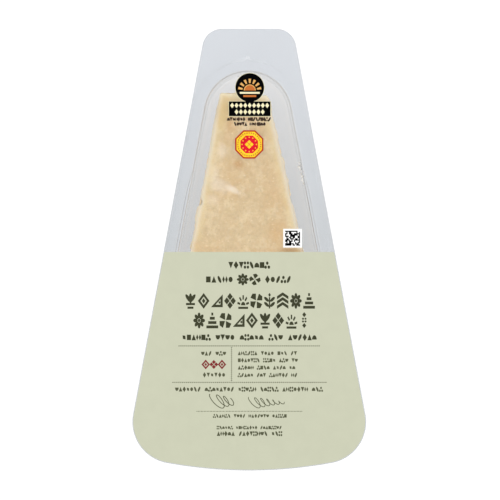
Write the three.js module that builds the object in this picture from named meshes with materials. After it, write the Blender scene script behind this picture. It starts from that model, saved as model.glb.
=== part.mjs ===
// A wedge of hard grating cheese sealed in a clear tapered tray, in millimetres, +Z up.
//
// The pack lies on the foot of its tray with the film side up. Its narrow end points along +Y and its bowed wide
// end, where the rind of the cheese lies, along -Y. The origin is on the surface that the pack lies on, under the
// middle of the pack.
//
//   tray      thin formed shell: foot, drafted wall, ledge, rolled lip, flat flange with a raised seal line
//   cheese    the wedge, cut off short at its thin end, with a crumbly cut surface
//   lid_film  the flat printed sheet that is sealed to the flange
import * as THREE from "three";
import { mergeVertices } from "three/addons/utils/BufferGeometryUtils.js";

// ---------- driving dimensions ----------

// The pack seen from above
const PACK_LENGTH = 212;
const SIDE_SLOPE = 0.188; // growth of the half width for each millimetre towards the wide end
const FLANGE_HALF_WIDTH = 40.9; // on the line through the middle of the pack
const FLANGE_NARROW_CORNER = 9.5;
const FLANGE_WIDE_CORNER = 20;
const WIDE_END_BOW = 218; // radius of the bowed wide end
const FLANGE_WIDTH = 7.3; // beside the well and round its wide end
const WELL_TOP_MARGIN = 20.3; // flange between the narrow end and the arched top of the well

// The tray seen in section
const SHEET = 0.625; // thickness of the formed plastic
const TRAY_DEPTH = 27; // from the surface it lies on to the top of the flange
const WALL_DRAFT = THREE.MathUtils.degToRad(3);
const FOOT_RADIUS = 2; // inside, where the wall meets the floor
const FOOT_WIDTH = 4.5; // flat foot round the raised floor panel
const PANEL_RISE = 0.75;
const PANEL_SLOPE_WIDTH = 1.5;
const LIP_RADIUS = 1.2; // over the top of the flange, where the wall rolls into it
const LEDGE_WIDTH = 1.6;
const LEDGE_DEPTH = 2.2; // below the top of the flange
const LEDGE_LEAST = 0.15; // what is left of the ledge round the arched end
const LEDGE_START_Y = 43; // the ledge widens from here ...
const LEDGE_FULL_Y = 37; // ... to here, towards the wide end
const SEAL_OFFSET = 5.6; // middle of the seal line, outside the mouth of the well
const SEAL_WIDTH = 1.2;
const SEAL_RISE = 0.25;
const PEEL_PEAK = 1.4; // height of the small peak in the seal line at the narrow end
const PEEL_PEAK_HALF_WIDTH = 2.4;

// The film
const FILM_INSET = 0.4;
const FILM_THICKNESS = 0.25;

// The cheese
const CHEESE_THICKNESS = 24;
const CHEESE_TIP_Y = 74.6;
const CHEESE_RIND_Y = -89;
const CHEESE_LEFT_AT_MIDDLE = 28.1; // distance of the left cut from the middle of the pack
const CHEESE_LEFT_SLOPE = 0.186;
const CHEESE_RIGHT_AT_MIDDLE = 25.7;
const CHEESE_RIGHT_SLOPE = 0.226;
const CHEESE_RIGHT_SLOPE_WIDE_END = 0.205;
const CHEESE_TIP_SLANT = 0.08; // the short cut across the tip runs a little askew
const WHEEL_RADIUS = 222; // of the round cheese that the wedge was cut from
const RIND_BULGE = 0.9; // the rind stands out this far half way up
const EDGE_RADIUS = 1.5;
const TIP_CORNER_RADIUS = 3.2;
const CHEESE_CELLS = { across: 16, along: 50, up: 7 };
const NOTCH = { y: 23, depth: 1.5, reach: 2.6 }; // a crumb broken out of the top edge of the left cut

// Relief of the cut surfaces: wavelength and height of each kind
const SWELL = { wavelength: 26, height: 0.45 };
const FLAKES = { wavelength: 7.5, height: 0.5 };
const SAW_MARKS = { wavelength: 4, height: 0.18 };

// Points along each stretch of half an outline
const OUTLINE_STEPS = { narrowEnd: 4, narrowCorner: 7, side: 10, wideCorner: 7, wideEnd: 7 };
const CURVE_STEPS = 3; // across a rolled or rounded edge of the tray

// ---------- outlines ----------

const TAPER = Math.atan(SIDE_SLOPE);
const NARROW_END_Y = PACK_LENGTH / 2;
const WIDE_END_Y = -PACK_LENGTH / 2;
const BOW_CENTRE_Y = WIDE_END_Y + WIDE_END_BOW;

const lerp = THREE.MathUtils.lerp;

// The right half of a tapered outline as points with their outward normals, from the middle of the narrow end
// round to the middle of the wide end. The corner centres don't move when an outline is made smaller or larger
// by an even distance, so any such outline is the same list moved along its normals.
function halfOutline({ narrowEndY, halfWidth, narrowCorner, wideCorner, bow }) {
  const point = (x, y, angle) => ({ x, y, nx: Math.cos(angle), ny: Math.sin(angle) });
  const onArc = (cx, cy, radius, angle) =>
    point(cx + radius * Math.cos(angle), cy + radius * Math.sin(angle), angle);
  const sideAt = (y, radius) => halfWidth - SIDE_SLOPE * y - radius / Math.cos(TAPER);

  const narrowY = narrowEndY - narrowCorner;
  const narrowX = Math.max(0, sideAt(narrowY, narrowCorner));

  // The wide corner touches the side line and lies inside the bow: its centre is where both hold.
  const offset = sideAt(0, wideCorner);
  const reach = bow - wideCorner;
  const a = 1 + SIDE_SLOPE ** 2;
  const b = SIDE_SLOPE * offset + BOW_CENTRE_Y;
  const c = offset ** 2 + BOW_CENTRE_Y ** 2 - reach ** 2;
  const wideY = (b - Math.sqrt(b * b - a * c)) / a;
  const wideX = offset - SIDE_SLOPE * wideY;
  const bowAngle = Math.atan2(wideY - BOW_CENTRE_Y, wideX);

  const steps = OUTLINE_STEPS;
  const points = [];
  // The first step of the narrow end is as wide as the peel peak, so that the seal line can follow it.
  const peakShare = Math.min(0.5, PEEL_PEAK_HALF_WIDTH / (narrowX || narrowCorner * Math.sin(Math.PI / 6)));
  for (let i = 0; i < steps.narrowEnd; i++) {
    const t = i === 0 ? 0 : lerp(peakShare, 1, (i - 1) / (steps.narrowEnd - 1));
    if (narrowX > 0) points.push(point(t * narrowX, narrowEndY, Math.PI / 2));
    else points.push(onArc(0, narrowY, narrowCorner, lerp(Math.PI / 2, Math.PI / 3, t)));
  }
  const cornerFrom = narrowX > 0 ? Math.PI / 2 : Math.PI / 3;
  for (let i = 0; i < steps.narrowCorner; i++)
    points.push(onArc(narrowX, narrowY, narrowCorner, lerp(cornerFrom, TAPER, i / steps.narrowCorner)));
  const sideStart = onArc(narrowX, narrowY, narrowCorner, TAPER);
  const sideEnd = onArc(wideX, wideY, wideCorner, TAPER);
  for (let i = 0; i < steps.side; i++) {
    const t = i / steps.side;
    points.push(point(lerp(sideStart.x, sideEnd.x, t), lerp(sideStart.y, sideEnd.y, t), TAPER));
  }
  for (let i = 0; i < steps.wideCorner; i++)
    points.push(onArc(wideX, wideY, wideCorner, lerp(TAPER, bowAngle, i / steps.wideCorner)));
  for (let i = 0; i <= steps.wideEnd; i++)
    points.push(onArc(0, BOW_CENTRE_Y, bow, lerp(bowAngle, -Math.PI / 2, i / steps.wideEnd)));
  return points;
}

// Both halves of an outline, clockwise seen from above.
function wholeOutline(spec) {
  const right = halfOutline(spec);
  const left = right
    .slice(1, -1)
    .reverse()
    .map((p) => ({ x: -p.x, y: p.y, nx: -p.nx, ny: p.ny }));
  return [...right, ...left];
}

const flangeOutline = wholeOutline({
  narrowEndY: NARROW_END_Y,
  halfWidth: FLANGE_HALF_WIDTH,
  narrowCorner: FLANGE_NARROW_CORNER,
  wideCorner: FLANGE_WIDE_CORNER,
  bow: WIDE_END_BOW,
});

// The narrow end of the well is one full arch, which touches both sides and the top margin.
const WELL_HALF_WIDTH = FLANGE_HALF_WIDTH - FLANGE_WIDTH / Math.cos(TAPER);
const WELL_TOP_Y = NARROW_END_Y - WELL_TOP_MARGIN;
const WELL_ARCH = ((WELL_HALF_WIDTH - SIDE_SLOPE * WELL_TOP_Y) * Math.cos(TAPER)) / (1 - Math.sin(TAPER));
const wellOutline = wholeOutline({
  narrowEndY: WELL_TOP_Y,
  halfWidth: WELL_HALF_WIDTH,
  narrowCorner: WELL_ARCH,
  wideCorner: FLANGE_WIDE_CORNER - FLANGE_WIDTH,
  bow: WIDE_END_BOW - FLANGE_WIDTH,
});

// A ring of points at one height, moved inwards from an outline. The inset may be a number or may differ from
// point to point.
function ring(outline, inset, z) {
  return outline.map((p) => {
    const d = typeof inset === "function" ? inset(p) : inset;
    return new THREE.Vector3(p.x - d * p.nx, p.y - d * p.ny, z);
  });
}

// A closed solid over a run of rings that all have the same number of points. The first ring is filled with a
// fan that faces up, the last with one that faces down.
function solidOverRings(rings) {
  const count = rings[0].length;
  const points = rings.flat();
  const index = [];
  for (let r = 0; r + 1 < rings.length; r++) {
    for (let i = 0; i < count; i++) {
      const next = (i + 1) % count;
      const [a, b, c, d] = [r * count + i, r * count + next, (r + 1) * count + next, (r + 1) * count + i];
      index.push(a, b, c, a, c, d);
    }
  }
  for (const [first, faceUp] of [
    [0, true],
    [(rings.length - 1) * count, false],
  ]) {
    const centre = points.length;
    const end = points.slice(first, first + count);
    const middle = end.reduce((sum, p) => sum.add(p), new THREE.Vector3()).divideScalar(count);
    points.push(middle);
    for (let i = 0; i < count; i++) {
      const [a, b] = [first + i, first + ((i + 1) % count)];
      index.push(centre, ...(faceUp ? [b, a] : [a, b]));
    }
  }
  const geometry = new THREE.BufferGeometry().setFromPoints(points);
  geometry.setIndex(index);
  geometry.computeVertexNormals();
  return geometry;
}

// ---------- tray ----------

// The points of a quarter turn from one angle to another, as [inset, z] pairs.
function quarterTurn(centreInset, centreZ, radius, from, to) {
  const turn = [];
  for (let i = 0; i <= CURVE_STEPS; i++) {
    const angle = lerp(from, to, i / CURVE_STEPS);
    turn.push([centreInset + radius * Math.cos(angle), centreZ + radius * Math.sin(angle)]);
  }
  return turn;
}

function trayGeometry() {
  const ledgeZ = TRAY_DEPTH - LEDGE_DEPTH;
  const wallInset = (ledgeZ - SHEET - FOOT_RADIUS) * Math.tan(WALL_DRAFT); // of the inner wall at its foot
  const floorInset = wallInset + FOOT_RADIUS;
  const panelFootInset = floorInset + FOOT_WIDTH;
  const panelEdgeInset = panelFootInset + PANEL_SLOPE_WIDTH;
  const [down, up, out] = [-Math.PI / 2, Math.PI / 2, Math.PI];

  const ledge = (p) =>
    LEDGE_LEAST +
    (LEDGE_WIDTH - LEDGE_LEAST) * (1 - THREE.MathUtils.smoothstep(p.y, LEDGE_FULL_Y, LEDGE_START_Y));
  const peak = (p) => PEEL_PEAK * (p.y > 0 ? Math.max(0, 1 - Math.abs(p.x) / PEEL_PEAK_HALF_WIDTH) : 0);
  const atWell = ([inset, z]) => ring(wellOutline, inset, z);
  const outsideLedge = ([inset, z]) => ring(wellOutline, (p) => inset - ledge(p), z);
  const seal = (offset, z) => ring(wellOutline, (p) => -(offset + peak(p)), z);

  const lipZ = TRAY_DEPTH - LIP_RADIUS;
  const footInside = quarterTurn(floorInset, SHEET + FOOT_RADIUS, FOOT_RADIUS, down, -out);
  const footOutside = quarterTurn(floorInset, SHEET + FOOT_RADIUS, FOOT_RADIUS + SHEET, -out, down);
  const lipInside = quarterTurn(-LIP_RADIUS, lipZ, LIP_RADIUS, 0, up);
  const lipOutside = quarterTurn(-LIP_RADIUS, lipZ, LIP_RADIUS - SHEET, up, 0);

  return solidOverRings([
    // inside, from the raised floor panel up to the lip
    atWell([panelEdgeInset, PANEL_RISE + SHEET]),
    atWell([panelFootInset, SHEET]),
    ...footInside.map(atWell),
    atWell([0, ledgeZ]),
    outsideLedge([0, ledgeZ + LEDGE_LEAST]),
    ...lipInside.map(outsideLedge),
    // top of the flange, with the seal line
    seal(SEAL_OFFSET - SEAL_WIDTH / 2, TRAY_DEPTH),
    seal(SEAL_OFFSET, TRAY_DEPTH + SEAL_RISE),
    seal(SEAL_OFFSET + SEAL_WIDTH / 2, TRAY_DEPTH),
    ring(flangeOutline, 0, TRAY_DEPTH),
    // underside, from the flange down to the raised panel
    ring(flangeOutline, 0, TRAY_DEPTH - SHEET),
    ...lipOutside.map(outsideLedge),
    outsideLedge([-SHEET, ledgeZ + LEDGE_LEAST - SHEET]),
    atWell([-SHEET, ledgeZ - SHEET]),
    ...footOutside.map(atWell),
    atWell([panelFootInset, 0]),
    atWell([panelEdgeInset, PANEL_RISE]),
  ]);
}

// ---------- film ----------

function filmGeometry() {
  const bottom = TRAY_DEPTH + SEAL_RISE;
  return solidOverRings([
    ring(flangeOutline, FILM_INSET, bottom + FILM_THICKNESS),
    ring(flangeOutline, FILM_INSET, bottom),
  ]);
}

// ---------- cheese ----------

// A repeatable random number from 0 to 1 for a corner of the noise grid.
function cornerValue(i, j, k) {
  const n = Math.sin(i * 127.1 + j * 311.7 + k * 74.7) * 43758.5453;
  return n - Math.floor(n);
}

// Smooth noise from -1 to 1 over space, with one value a wavelength.
function noise(x, y, z, wavelength) {
  const at = [x, y, z].map((v) => v / wavelength);
  const low = at.map(Math.floor);
  const [fx, fy, fz] = at.map((v, i) => THREE.MathUtils.smoothstep(v - low[i], 0, 1));
  const corner = (dx, dy, dz) => cornerValue(low[0] + dx, low[1] + dy, low[2] + dz);
  const edge = (dy, dz) => lerp(corner(0, dy, dz), corner(1, dy, dz), fx);
  const side = (dz) => lerp(edge(0, dz), edge(1, dz), fy);
  return 2 * lerp(side(0), side(1), fz) - 1;
}

// How far the broken grain stands out of a cut face: a slow swell, flakes with steep edges and fine saw marks.
function relief(x, y, z) {
  const swell = SWELL.height * noise(x, y, z, SWELL.wavelength);
  const flake = noise(x + 40, y, z, FLAKES.wavelength);
  const flakes = FLAKES.height * (THREE.MathUtils.smoothstep(flake, -0.12, 0.12) - 0.5);
  const saw = SAW_MARKS.height * noise(x, y + 90, z, SAW_MARKS.wavelength);
  return swell + flakes + saw;
}

const cheeseLeft = (y) => -(CHEESE_LEFT_AT_MIDDLE - CHEESE_LEFT_SLOPE * y);
const cheeseRight = (y) =>
  CHEESE_RIGHT_AT_MIDDLE - (y > 0 ? CHEESE_RIGHT_SLOPE : CHEESE_RIGHT_SLOPE_WIDE_END) * y;

// Distance of grid line i of n along a length, with two lines kept for each rounded edge.
function gridLine(i, n, length) {
  const lines = 2;
  if (i <= lines) return (i * EDGE_RADIUS) / lines;
  if (n - i <= lines) return length - ((n - i) * EDGE_RADIUS) / lines;
  return EDGE_RADIUS + ((i - lines) / (n - 2 * lines)) * (length - 2 * EDGE_RADIUS);
}

// Pushes a pair or triple of distances from a sharp corner onto a round one.
function roundOff(distances) {
  const length = Math.hypot(...distances);
  const scale = length > 0 ? Math.max(...distances) / length : 1;
  return distances.map((d) => d * scale);
}

// Where a point of the unit box goes on the wedge.
function placeOnWedge(box) {
  const { across, along, up } = CHEESE_CELLS;
  const length = CHEESE_TIP_Y - CHEESE_RIND_Y;
  const alongLine = gridLine(Math.round((box.y + 0.5) * along), along, length);
  const y = CHEESE_RIND_Y + alongLine;
  const width = cheeseRight(y) - cheeseLeft(y);
  const acrossLine = gridLine(Math.round((box.x + 0.5) * across), across, width);
  const upLine = gridLine(Math.round((box.z + 0.5) * up), up, CHEESE_THICKNESS);

  // How deep the point is in the rounded band of each side, and which way that side faces.
  const band = (line, size) => {
    const fromEnd = Math.min(line, size - line);
    return { depth: Math.max(0, EDGE_RADIUS - fromEnd), sign: line < size / 2 ? -1 : 1 };
  };
  const bands = [band(acrossLine, width), band(alongLine, length), band(upLine, CHEESE_THICKNESS)];
  const depths = bands.map((b) => b.depth);
  const rounded = roundOff(depths);
  const shift = bands.map((b, i) => b.sign * (rounded[i] - depths[i]));
  const normal = new THREE.Vector3(...bands.map((b, i) => b.sign * depths[i])).normalize();

  const place = new THREE.Vector3(cheeseLeft(y) + acrossLine + shift[0], y + shift[1], upLine + shift[2]);
  const fromRind = 1 - alongLine / length;

  // The corner on the left of the tip is worn round.
  const cornerDepths = [TIP_CORNER_RADIUS - acrossLine, TIP_CORNER_RADIUS - (length - alongLine)];
  if (cornerDepths.every((d) => d > 0)) {
    const worn = roundOff(cornerDepths);
    place.x += cornerDepths[0] - worn[0];
    place.y -= cornerDepths[1] - worn[1];
  }

  // The rind follows the wheel, and bulges; the tip is cut a little askew.
  const wheelCentreY = CHEESE_RIND_Y + WHEEL_RADIUS;
  const rindLift = wheelCentreY - Math.sqrt(WHEEL_RADIUS ** 2 - place.x ** 2) - CHEESE_RIND_Y;
  const upShare = (2 * upLine) / CHEESE_THICKNESS - 1;
  place.y += fromRind ** 3 * rindLift - fromRind ** 12 * RIND_BULGE * (1 - upShare ** 2);
  place.y -= (1 - fromRind) ** 12 * CHEESE_TIP_SLANT * place.x;

  // Broken grain on the cut faces; the underside stays flat, and the rind is smoother.
  const grain = normal.z < 0 ? 1 + normal.z : 1;
  const rindShare = normal.y < 0 ? 1 + 0.7 * normal.y : 1;
  place.addScaledVector(normal, grain * rindShare * relief(place.x, place.y, place.z));

  const notchAt = new THREE.Vector3(cheeseLeft(NOTCH.y), NOTCH.y, CHEESE_THICKNESS);
  const fromNotch = place.distanceTo(notchAt) / NOTCH.reach;
  place.x += NOTCH.depth * Math.exp(-(fromNotch ** 2));
  return place;
}

function cheeseGeometry() {
  const { across, along, up } = CHEESE_CELLS;
  let geometry = new THREE.BoxGeometry(1, 1, 1, across, along, up);
  geometry.deleteAttribute("normal");
  geometry.deleteAttribute("uv");
  geometry = mergeVertices(geometry, 1e-4);
  const position = geometry.getAttribute("position");
  const point = new THREE.Vector3();
  for (let i = 0; i < position.count; i++) {
    const placed = placeOnWedge(point.fromBufferAttribute(position, i));
    position.setXYZ(i, placed.x, placed.y, placed.z);
  }
  geometry.computeVertexNormals();
  return geometry;
}

// ---------- the pack ----------

function piece(name, geometry, material) {
  const mesh = new THREE.Mesh(geometry, new THREE.MeshStandardMaterial(material));
  mesh.name = name;
  return mesh;
}

const pack = new THREE.Group();

pack.add(
  piece("tray", trayGeometry(), {
    color: 0xd8dde2,
    roughness: 0.1,
    metalness: 0,
    transparent: true,
    opacity: 0.35,
    side: THREE.DoubleSide,
  }),
);

const cheese = piece("cheese", cheeseGeometry(), { color: 0xdec6a0, roughness: 0.7, metalness: 0 });
cheese.position.z = PANEL_RISE + SHEET;
pack.add(cheese);

pack.add(piece("lid_film", filmGeometry(), { color: 0xced0b8, roughness: 0.45, metalness: 0 }));

export default pack;
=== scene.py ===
# %% [markdown]
# A wedge of hard grating cheese, sealed in a clear tapered tray under a printed film.
# The measured solids are already made: a tray, a wedge and a lid film. This lesson dresses them. Each one gets a
# finer mesh of the same form, the film gets its print, and every surface gets a material built from nodes.

# %% Load the frame
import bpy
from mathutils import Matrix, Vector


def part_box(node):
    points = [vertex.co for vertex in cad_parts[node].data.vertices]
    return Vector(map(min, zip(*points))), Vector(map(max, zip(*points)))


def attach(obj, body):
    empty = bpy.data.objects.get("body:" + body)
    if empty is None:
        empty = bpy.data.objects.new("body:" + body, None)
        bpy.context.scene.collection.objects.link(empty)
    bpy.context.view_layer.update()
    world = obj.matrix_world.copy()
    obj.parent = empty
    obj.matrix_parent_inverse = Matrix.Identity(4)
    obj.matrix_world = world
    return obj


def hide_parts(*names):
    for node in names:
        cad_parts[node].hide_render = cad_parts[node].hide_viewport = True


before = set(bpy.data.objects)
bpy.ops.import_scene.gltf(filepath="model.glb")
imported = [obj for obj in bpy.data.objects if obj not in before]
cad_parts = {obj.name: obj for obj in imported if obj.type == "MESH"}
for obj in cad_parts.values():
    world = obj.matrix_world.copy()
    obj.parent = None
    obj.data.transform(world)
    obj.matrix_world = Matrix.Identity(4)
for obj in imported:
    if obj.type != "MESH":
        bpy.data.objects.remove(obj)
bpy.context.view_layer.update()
print("frame loaded with", sorted(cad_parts))

# %% [markdown]
# Blender works in metres here, but a pack like this is thought of in millimetres. One helper value, MM, turns one
# into the other, and every size below is written in millimetres. numpy makes points by the thousand at once,
# which plain Python loops would do slowly.

# %% Tools and units
import math

import bmesh
import bpy
import numpy as np

MM = 0.001
SEAL_RISE = 0.25  # the weld under the film stands this far above the flange
scene = bpy.context.scene
FILM_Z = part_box("lid_film")[0][2] / MM
FLANGE_TOP = FILM_Z - SEAL_RISE
CHEESE_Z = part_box("cheese")[0][2] / MM
print(f"film rests at {FILM_Z:.2f} mm, cheese at {CHEESE_Z:.2f} mm")

# %% [markdown]
# ## Camera, light and floor
# The pack is seen from straight above with a long lens, so that its sides stay parallel. A camera that isn't
# turned looks down -Z with +Y up, which is just the view we want: only its height and its lens need working out.

# %% Camera
FRAME_WIDTH = 240.0  # what the view takes in at the height of the film
CAMERA_ABOVE = 2000.0
SENSOR = 36.0
LOOK_AT = (0.36, -0.17)  # the middle of the view
SEEN_TO = 10.0  # metres
camera_data = bpy.data.cameras.new("camera")
camera_data.sensor_width = SENSOR
camera_data.lens = SENSOR * CAMERA_ABOVE / FRAME_WIDTH
camera_data.clip_end = SEEN_TO
camera = bpy.data.objects.new("camera", camera_data)
camera.location = (LOOK_AT[0] * MM, LOOK_AT[1] * MM, (FILM_Z + CAMERA_ABOVE) * MM)
scene.collection.objects.link(camera)
scene.camera = camera
print(f"camera with a {camera_data.lens:.0f} mm lens, {camera.location.z:.2f} m up")

# %% [markdown]
# Clear plastic shows whatever is round it, so the light is mostly one even white sky, with two big soft lamps to
# give the crumbly cheese some shape. Lamps stand to the sides: straight above they would lie as a veil on the
# film, in the middle of the view.

# %% World and lamps
SKY_STRENGTH = 0.78
WHITE = (1.0, 1.0, 1.0, 1.0)
LAMPS = (
    # name, place in mm, side of the square in mm, watts
    ("key_lamp", (650.0, 450.0, 750.0), 1000.0, 4.6),
    ("fill_lamp", (-700.0, -250.0, 700.0), 1000.0, 3.0),
)
scene.view_settings.view_transform = "Standard"
world = bpy.data.worlds.new("sky")
world.use_nodes = True
sky = world.node_tree.nodes["Background"]
sky.inputs["Color"].default_value = WHITE
sky.inputs["Strength"].default_value = SKY_STRENGTH
scene.world = world
for lamp_name, place, side, watts in LAMPS:
    lamp_data = bpy.data.lights.new(lamp_name, "AREA")
    lamp_data.size = side * MM
    lamp_data.energy = watts
    lamp = bpy.data.objects.new(lamp_name, lamp_data)
    lamp.location = [v * MM for v in place]
    lamp.rotation_mode = "QUATERNION"
    lamp.rotation_quaternion = lamp.location.to_track_quat("Z", "Y")
    scene.collection.objects.link(lamp)
print("lamps:", [lamp[0] for lamp in LAMPS])

# %% [markdown]
# ## A short way to write nodes
# Materials are built by script, so two helpers keep them readable. `node` adds one node, sets what is given as a
# plain value and links what is given as another node's output. `new_material` starts a material whose one
# Principled shader is already joined to the output.

# %% Node helpers
def node(tree, kind, sockets=None, **settings):
    made = tree.nodes.new("ShaderNode" + kind)
    for name, value in settings.items():
        setattr(made, name, value)
    for key, value in (sockets or {}).items():
        socket = made.inputs[key]
        if isinstance(value, bpy.types.NodeSocket):
            tree.links.new(value, socket)
        else:
            socket.default_value = value
    return made


def new_material(name, sockets):
    made = bpy.data.materials.new(name)
    made.use_nodes = True
    tree = made.node_tree
    shader = tree.nodes["Principled BSDF"]
    for key, value in sockets.items():
        shader.inputs[key].default_value = value
    return made, tree, shader


def srgb(red, green, blue):
    """A colour as a paint chart gives it, from 0 to 255, turned into the linear values that shaders use."""
    parts = [v / 255 for v in (red, green, blue)]
    linear = [v / 12.92 if v <= 0.04045 else ((v + 0.055) / 1.055) ** 2.4 for v in parts]
    return (*linear, 1.0)


print("white in linear values:", srgb(255, 255, 255))

# %% [markdown]
# The floor is a plain white sweep, lit from below as a light table is. That keeps it evenly white under and round
# the clear tray, where a plain white board would go grey in the tray's own shadow.

# %% Floor
FLOOR_HALF = 3000.0
FLOOR_GLOW = 0.92
FLOOR_WHITE = 0.14
FLOOR_GAP = 0.03  # the floor lies this far under the foot, so that the two faces don't meet in one plane
floor_mesh = bpy.data.meshes.new("floor")
h, low = FLOOR_HALF * MM, -FLOOR_GAP * MM
floor_mesh.from_pydata([(-h, -h, low), (h, -h, low), (h, h, low), (-h, h, low)], [], [(0, 1, 2, 3)])
floor = bpy.data.objects.new("floor", floor_mesh)
floor_material, _, _ = new_material("light_table", {
    "Roughness": 0.9,
    "Base Color": (FLOOR_WHITE, FLOOR_WHITE, FLOOR_WHITE, 1.0),
    "Emission Color": WHITE,
    "Emission Strength": FLOOR_GLOW,
})
floor_mesh.materials.append(floor_material)
scene.collection.objects.link(floor)
print("floor", 2 * FLOOR_HALF / 1000, "m square")

# %% [markdown]
# Most nodes here do small sums on masks, values from 0 to 1 that say how much of something there is. A name for
# each kind of sum keeps them to one line. Two more helpers read where a point lies and what the mesh stores there.

# %% Mask helpers
def compute(tree, operation, *values):
    """The result of one Math node on plain values or the outputs of other nodes."""
    return node(tree, "Math", dict(enumerate(values)), operation=operation).outputs[0]


def ramp(tree, value, start, end, kind="LINEAR"):
    """A mask that goes from 0 where the value is start to 1 where it is end."""
    return node(tree, "MapRange", {0: value, 1: start, 2: end}, interpolation_type=kind).outputs["Result"]


def between(tree, mask, low, high):
    """A value that goes from low to high as the mask goes from 0 to 1."""
    return node(tree, "MapRange", {0: mask, 3: low, 4: high}).outputs["Result"]


def own_xyz(tree):
    """The place in the object's own metres, as the outputs X, Y and Z."""
    return node(tree, "SeparateXYZ", {0: node(tree, "TexCoord").outputs["Object"]}).outputs


def stored(tree, name):
    """A value that the mesh stores for each of its points."""
    return node(tree, "Attribute", attribute_name=name).outputs["Fac"]


print("mask helpers:", [f.__name__ for f in (compute, ramp, between, own_xyz, stored)])

# %% [markdown]
# ## Node groups
# Four effects turn up in more than one material, so each is a node group with named inputs. The first is a soft
# mottle: cloudy patches of a chosen size, which colour cheese, tint ink and haze plastic.

# %% Group helper and mottle
def new_group(name, inputs, outputs):
    """A shader node group. inputs holds (name, kind, first value); outputs holds (name, kind)."""
    group = bpy.data.node_groups.new(name, "ShaderNodeTree")
    for label, kind, first in inputs:
        socket = group.interface.new_socket(label, in_out="INPUT", socket_type="NodeSocket" + kind)
        socket.default_value = first
    for label, kind in outputs:
        group.interface.new_socket(label, in_out="OUTPUT", socket_type="NodeSocket" + kind)
    return group, group.nodes.new("NodeGroupInput"), group.nodes.new("NodeGroupOutput")


mottle, enter, leave = new_group(
    "mottle",
    [("Size", "Float", 10.0), ("Detail", "Float", 2.0), ("Low", "Float", 0.35), ("High", "Float", 0.65)],
    [("Mask", "Float")],
)
place = node(mottle, "TexCoord").outputs["Object"]
per_metre = compute(mottle, "DIVIDE", 1 / MM, enter.outputs["Size"])
clouds = node(mottle, "TexNoise", {"Vector": place, "Scale": per_metre, "Detail": enter.outputs["Detail"]})
spread = ramp(mottle, clouds.outputs["Fac"], enter.outputs["Low"], enter.outputs["High"], "SMOOTHSTEP")
mottle.links.new(spread, leave.inputs["Mask"])
print("group", mottle.name)

# %% [markdown]
# The second is a soft spot: an oval patch with a faded edge at a given place. It lays single marks, such as a
# pale streak in the cheese, where they belong. It turns and stretches the coordinates round its centre and
# measures the distance from there.

# %% Soft spot group
SPOT_EDGE, SPOT_CORE = 1.0, 0.2  # a spot starts at its reach and is full at this share of it
soft_spot, enter, leave = new_group(
    "soft_spot",
    [("Centre", "Vector", (0, 0, 0)), ("Reach", "Vector", (1, 1, 1)), ("Turn", "Vector", (0, 0, 0))],
    [("Mask", "Float")],
)
place = node(soft_spot, "TexCoord").outputs["Object"]
centre, reach, turn = (enter.outputs[label] for label in ("Centre", "Reach", "Turn"))
turned = {"Vector": place, "Location": centre, "Rotation": turn, "Scale": reach}
oval = node(soft_spot, "Mapping", turned, vector_type="TEXTURE")
distance = node(soft_spot, "VectorMath", {0: oval.outputs["Vector"]}, operation="LENGTH")
fade = ramp(soft_spot, distance.outputs["Value"], SPOT_EDGE, SPOT_CORE, "SMOOTHSTEP")
soft_spot.links.new(fade, leave.inputs["Mask"])
print("group", soft_spot.name)

# %% [markdown]
# The third is grain: a rough height for a Bump node. Two sizes of noise are added, one less than half the size and
# half the height of the other, as broken cheese has crumbs on its crumbs. The same group, set wider or very fine
# and shallow, gives film, tray and ink their faint waviness.

# %% Grain group
FINER = 2.3
FINER_HEIGHT = 0.5
grain, enter, leave = new_group("grain", [("Size", "Float", 1.0)], [("Height", "Float")])
place = node(grain, "TexCoord").outputs["Object"]
coarse_scale = compute(grain, "DIVIDE", 1 / MM, enter.outputs["Size"])
fine_scale = compute(grain, "MULTIPLY", coarse_scale, FINER)
coarse, fine = (
    node(grain, "TexNoise", {"Vector": place, "Scale": scale, "Detail": 3.0}).outputs["Fac"]
    for scale in (coarse_scale, fine_scale)
)
low_fine = compute(grain, "MULTIPLY", fine, FINER_HEIGHT)
grain.links.new(compute(grain, "ADD", coarse, low_fine), leave.inputs["Height"])
print("group", grain.name)

# %% [markdown]
# The fourth is crystals: aged cheese holds small white grains of salt and protein. Voronoi cells give scattered
# points, and only the cells with a high random value keep theirs, so the specks lie far apart and uneven.

# %% Crystal group
crystals, enter, leave = new_group(
    "crystals", [("Spacing", "Float", 3.0), ("Speck", "Float", 0.2), ("Keep", "Float", 0.6)], [("Mask", "Float")]
)
place = node(crystals, "TexCoord").outputs["Object"]
per_metre = compute(crystals, "DIVIDE", 1 / MM, enter.outputs["Spacing"])
cells = node(crystals, "TexVoronoi", {"Vector": place, "Scale": per_metre})
speck = ramp(crystals, cells.outputs["Distance"], enter.outputs["Speck"], 0.0, "SMOOTHSTEP")
chance = node(crystals, "SeparateColor", {0: cells.outputs["Color"]})
kept = compute(crystals, "GREATER_THAN", chance.outputs[0], enter.outputs["Keep"])
crystals.links.new(compute(crystals, "MULTIPLY", speck, kept), leave.inputs["Mask"])
print("group", crystals.name)

# %% [markdown]
# A group is placed in a material with its own values by one more helper. `cloudy` and `grain_bump` do that for the
# two groups that are used most. `layer` lays one colour over another by a mask, and `toned` darkens or lightens
# a colour.

# %% Group and colour helpers
def place_group(tree, group, **values):
    made = node(tree, "Group", node_tree=group)
    for key, value in values.items():
        made.inputs[key].default_value = value
    return made.outputs[0]


def cloudy(tree, size, detail, low, high):
    """A mask of clouds as large as size, in mm. low and high are the noise at which they start and are full."""
    return place_group(tree, mottle, Size=size, Detail=detail, Low=low, High=high)


def grain_bump(tree, size, depth, strength=1.0):
    """A normal roughened by grain of the given size and depth, in mm."""
    height = place_group(tree, grain, Size=size)
    return node(tree, "Bump", {"Strength": strength, "Distance": depth * MM, "Height": height}).outputs["Normal"]


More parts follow.
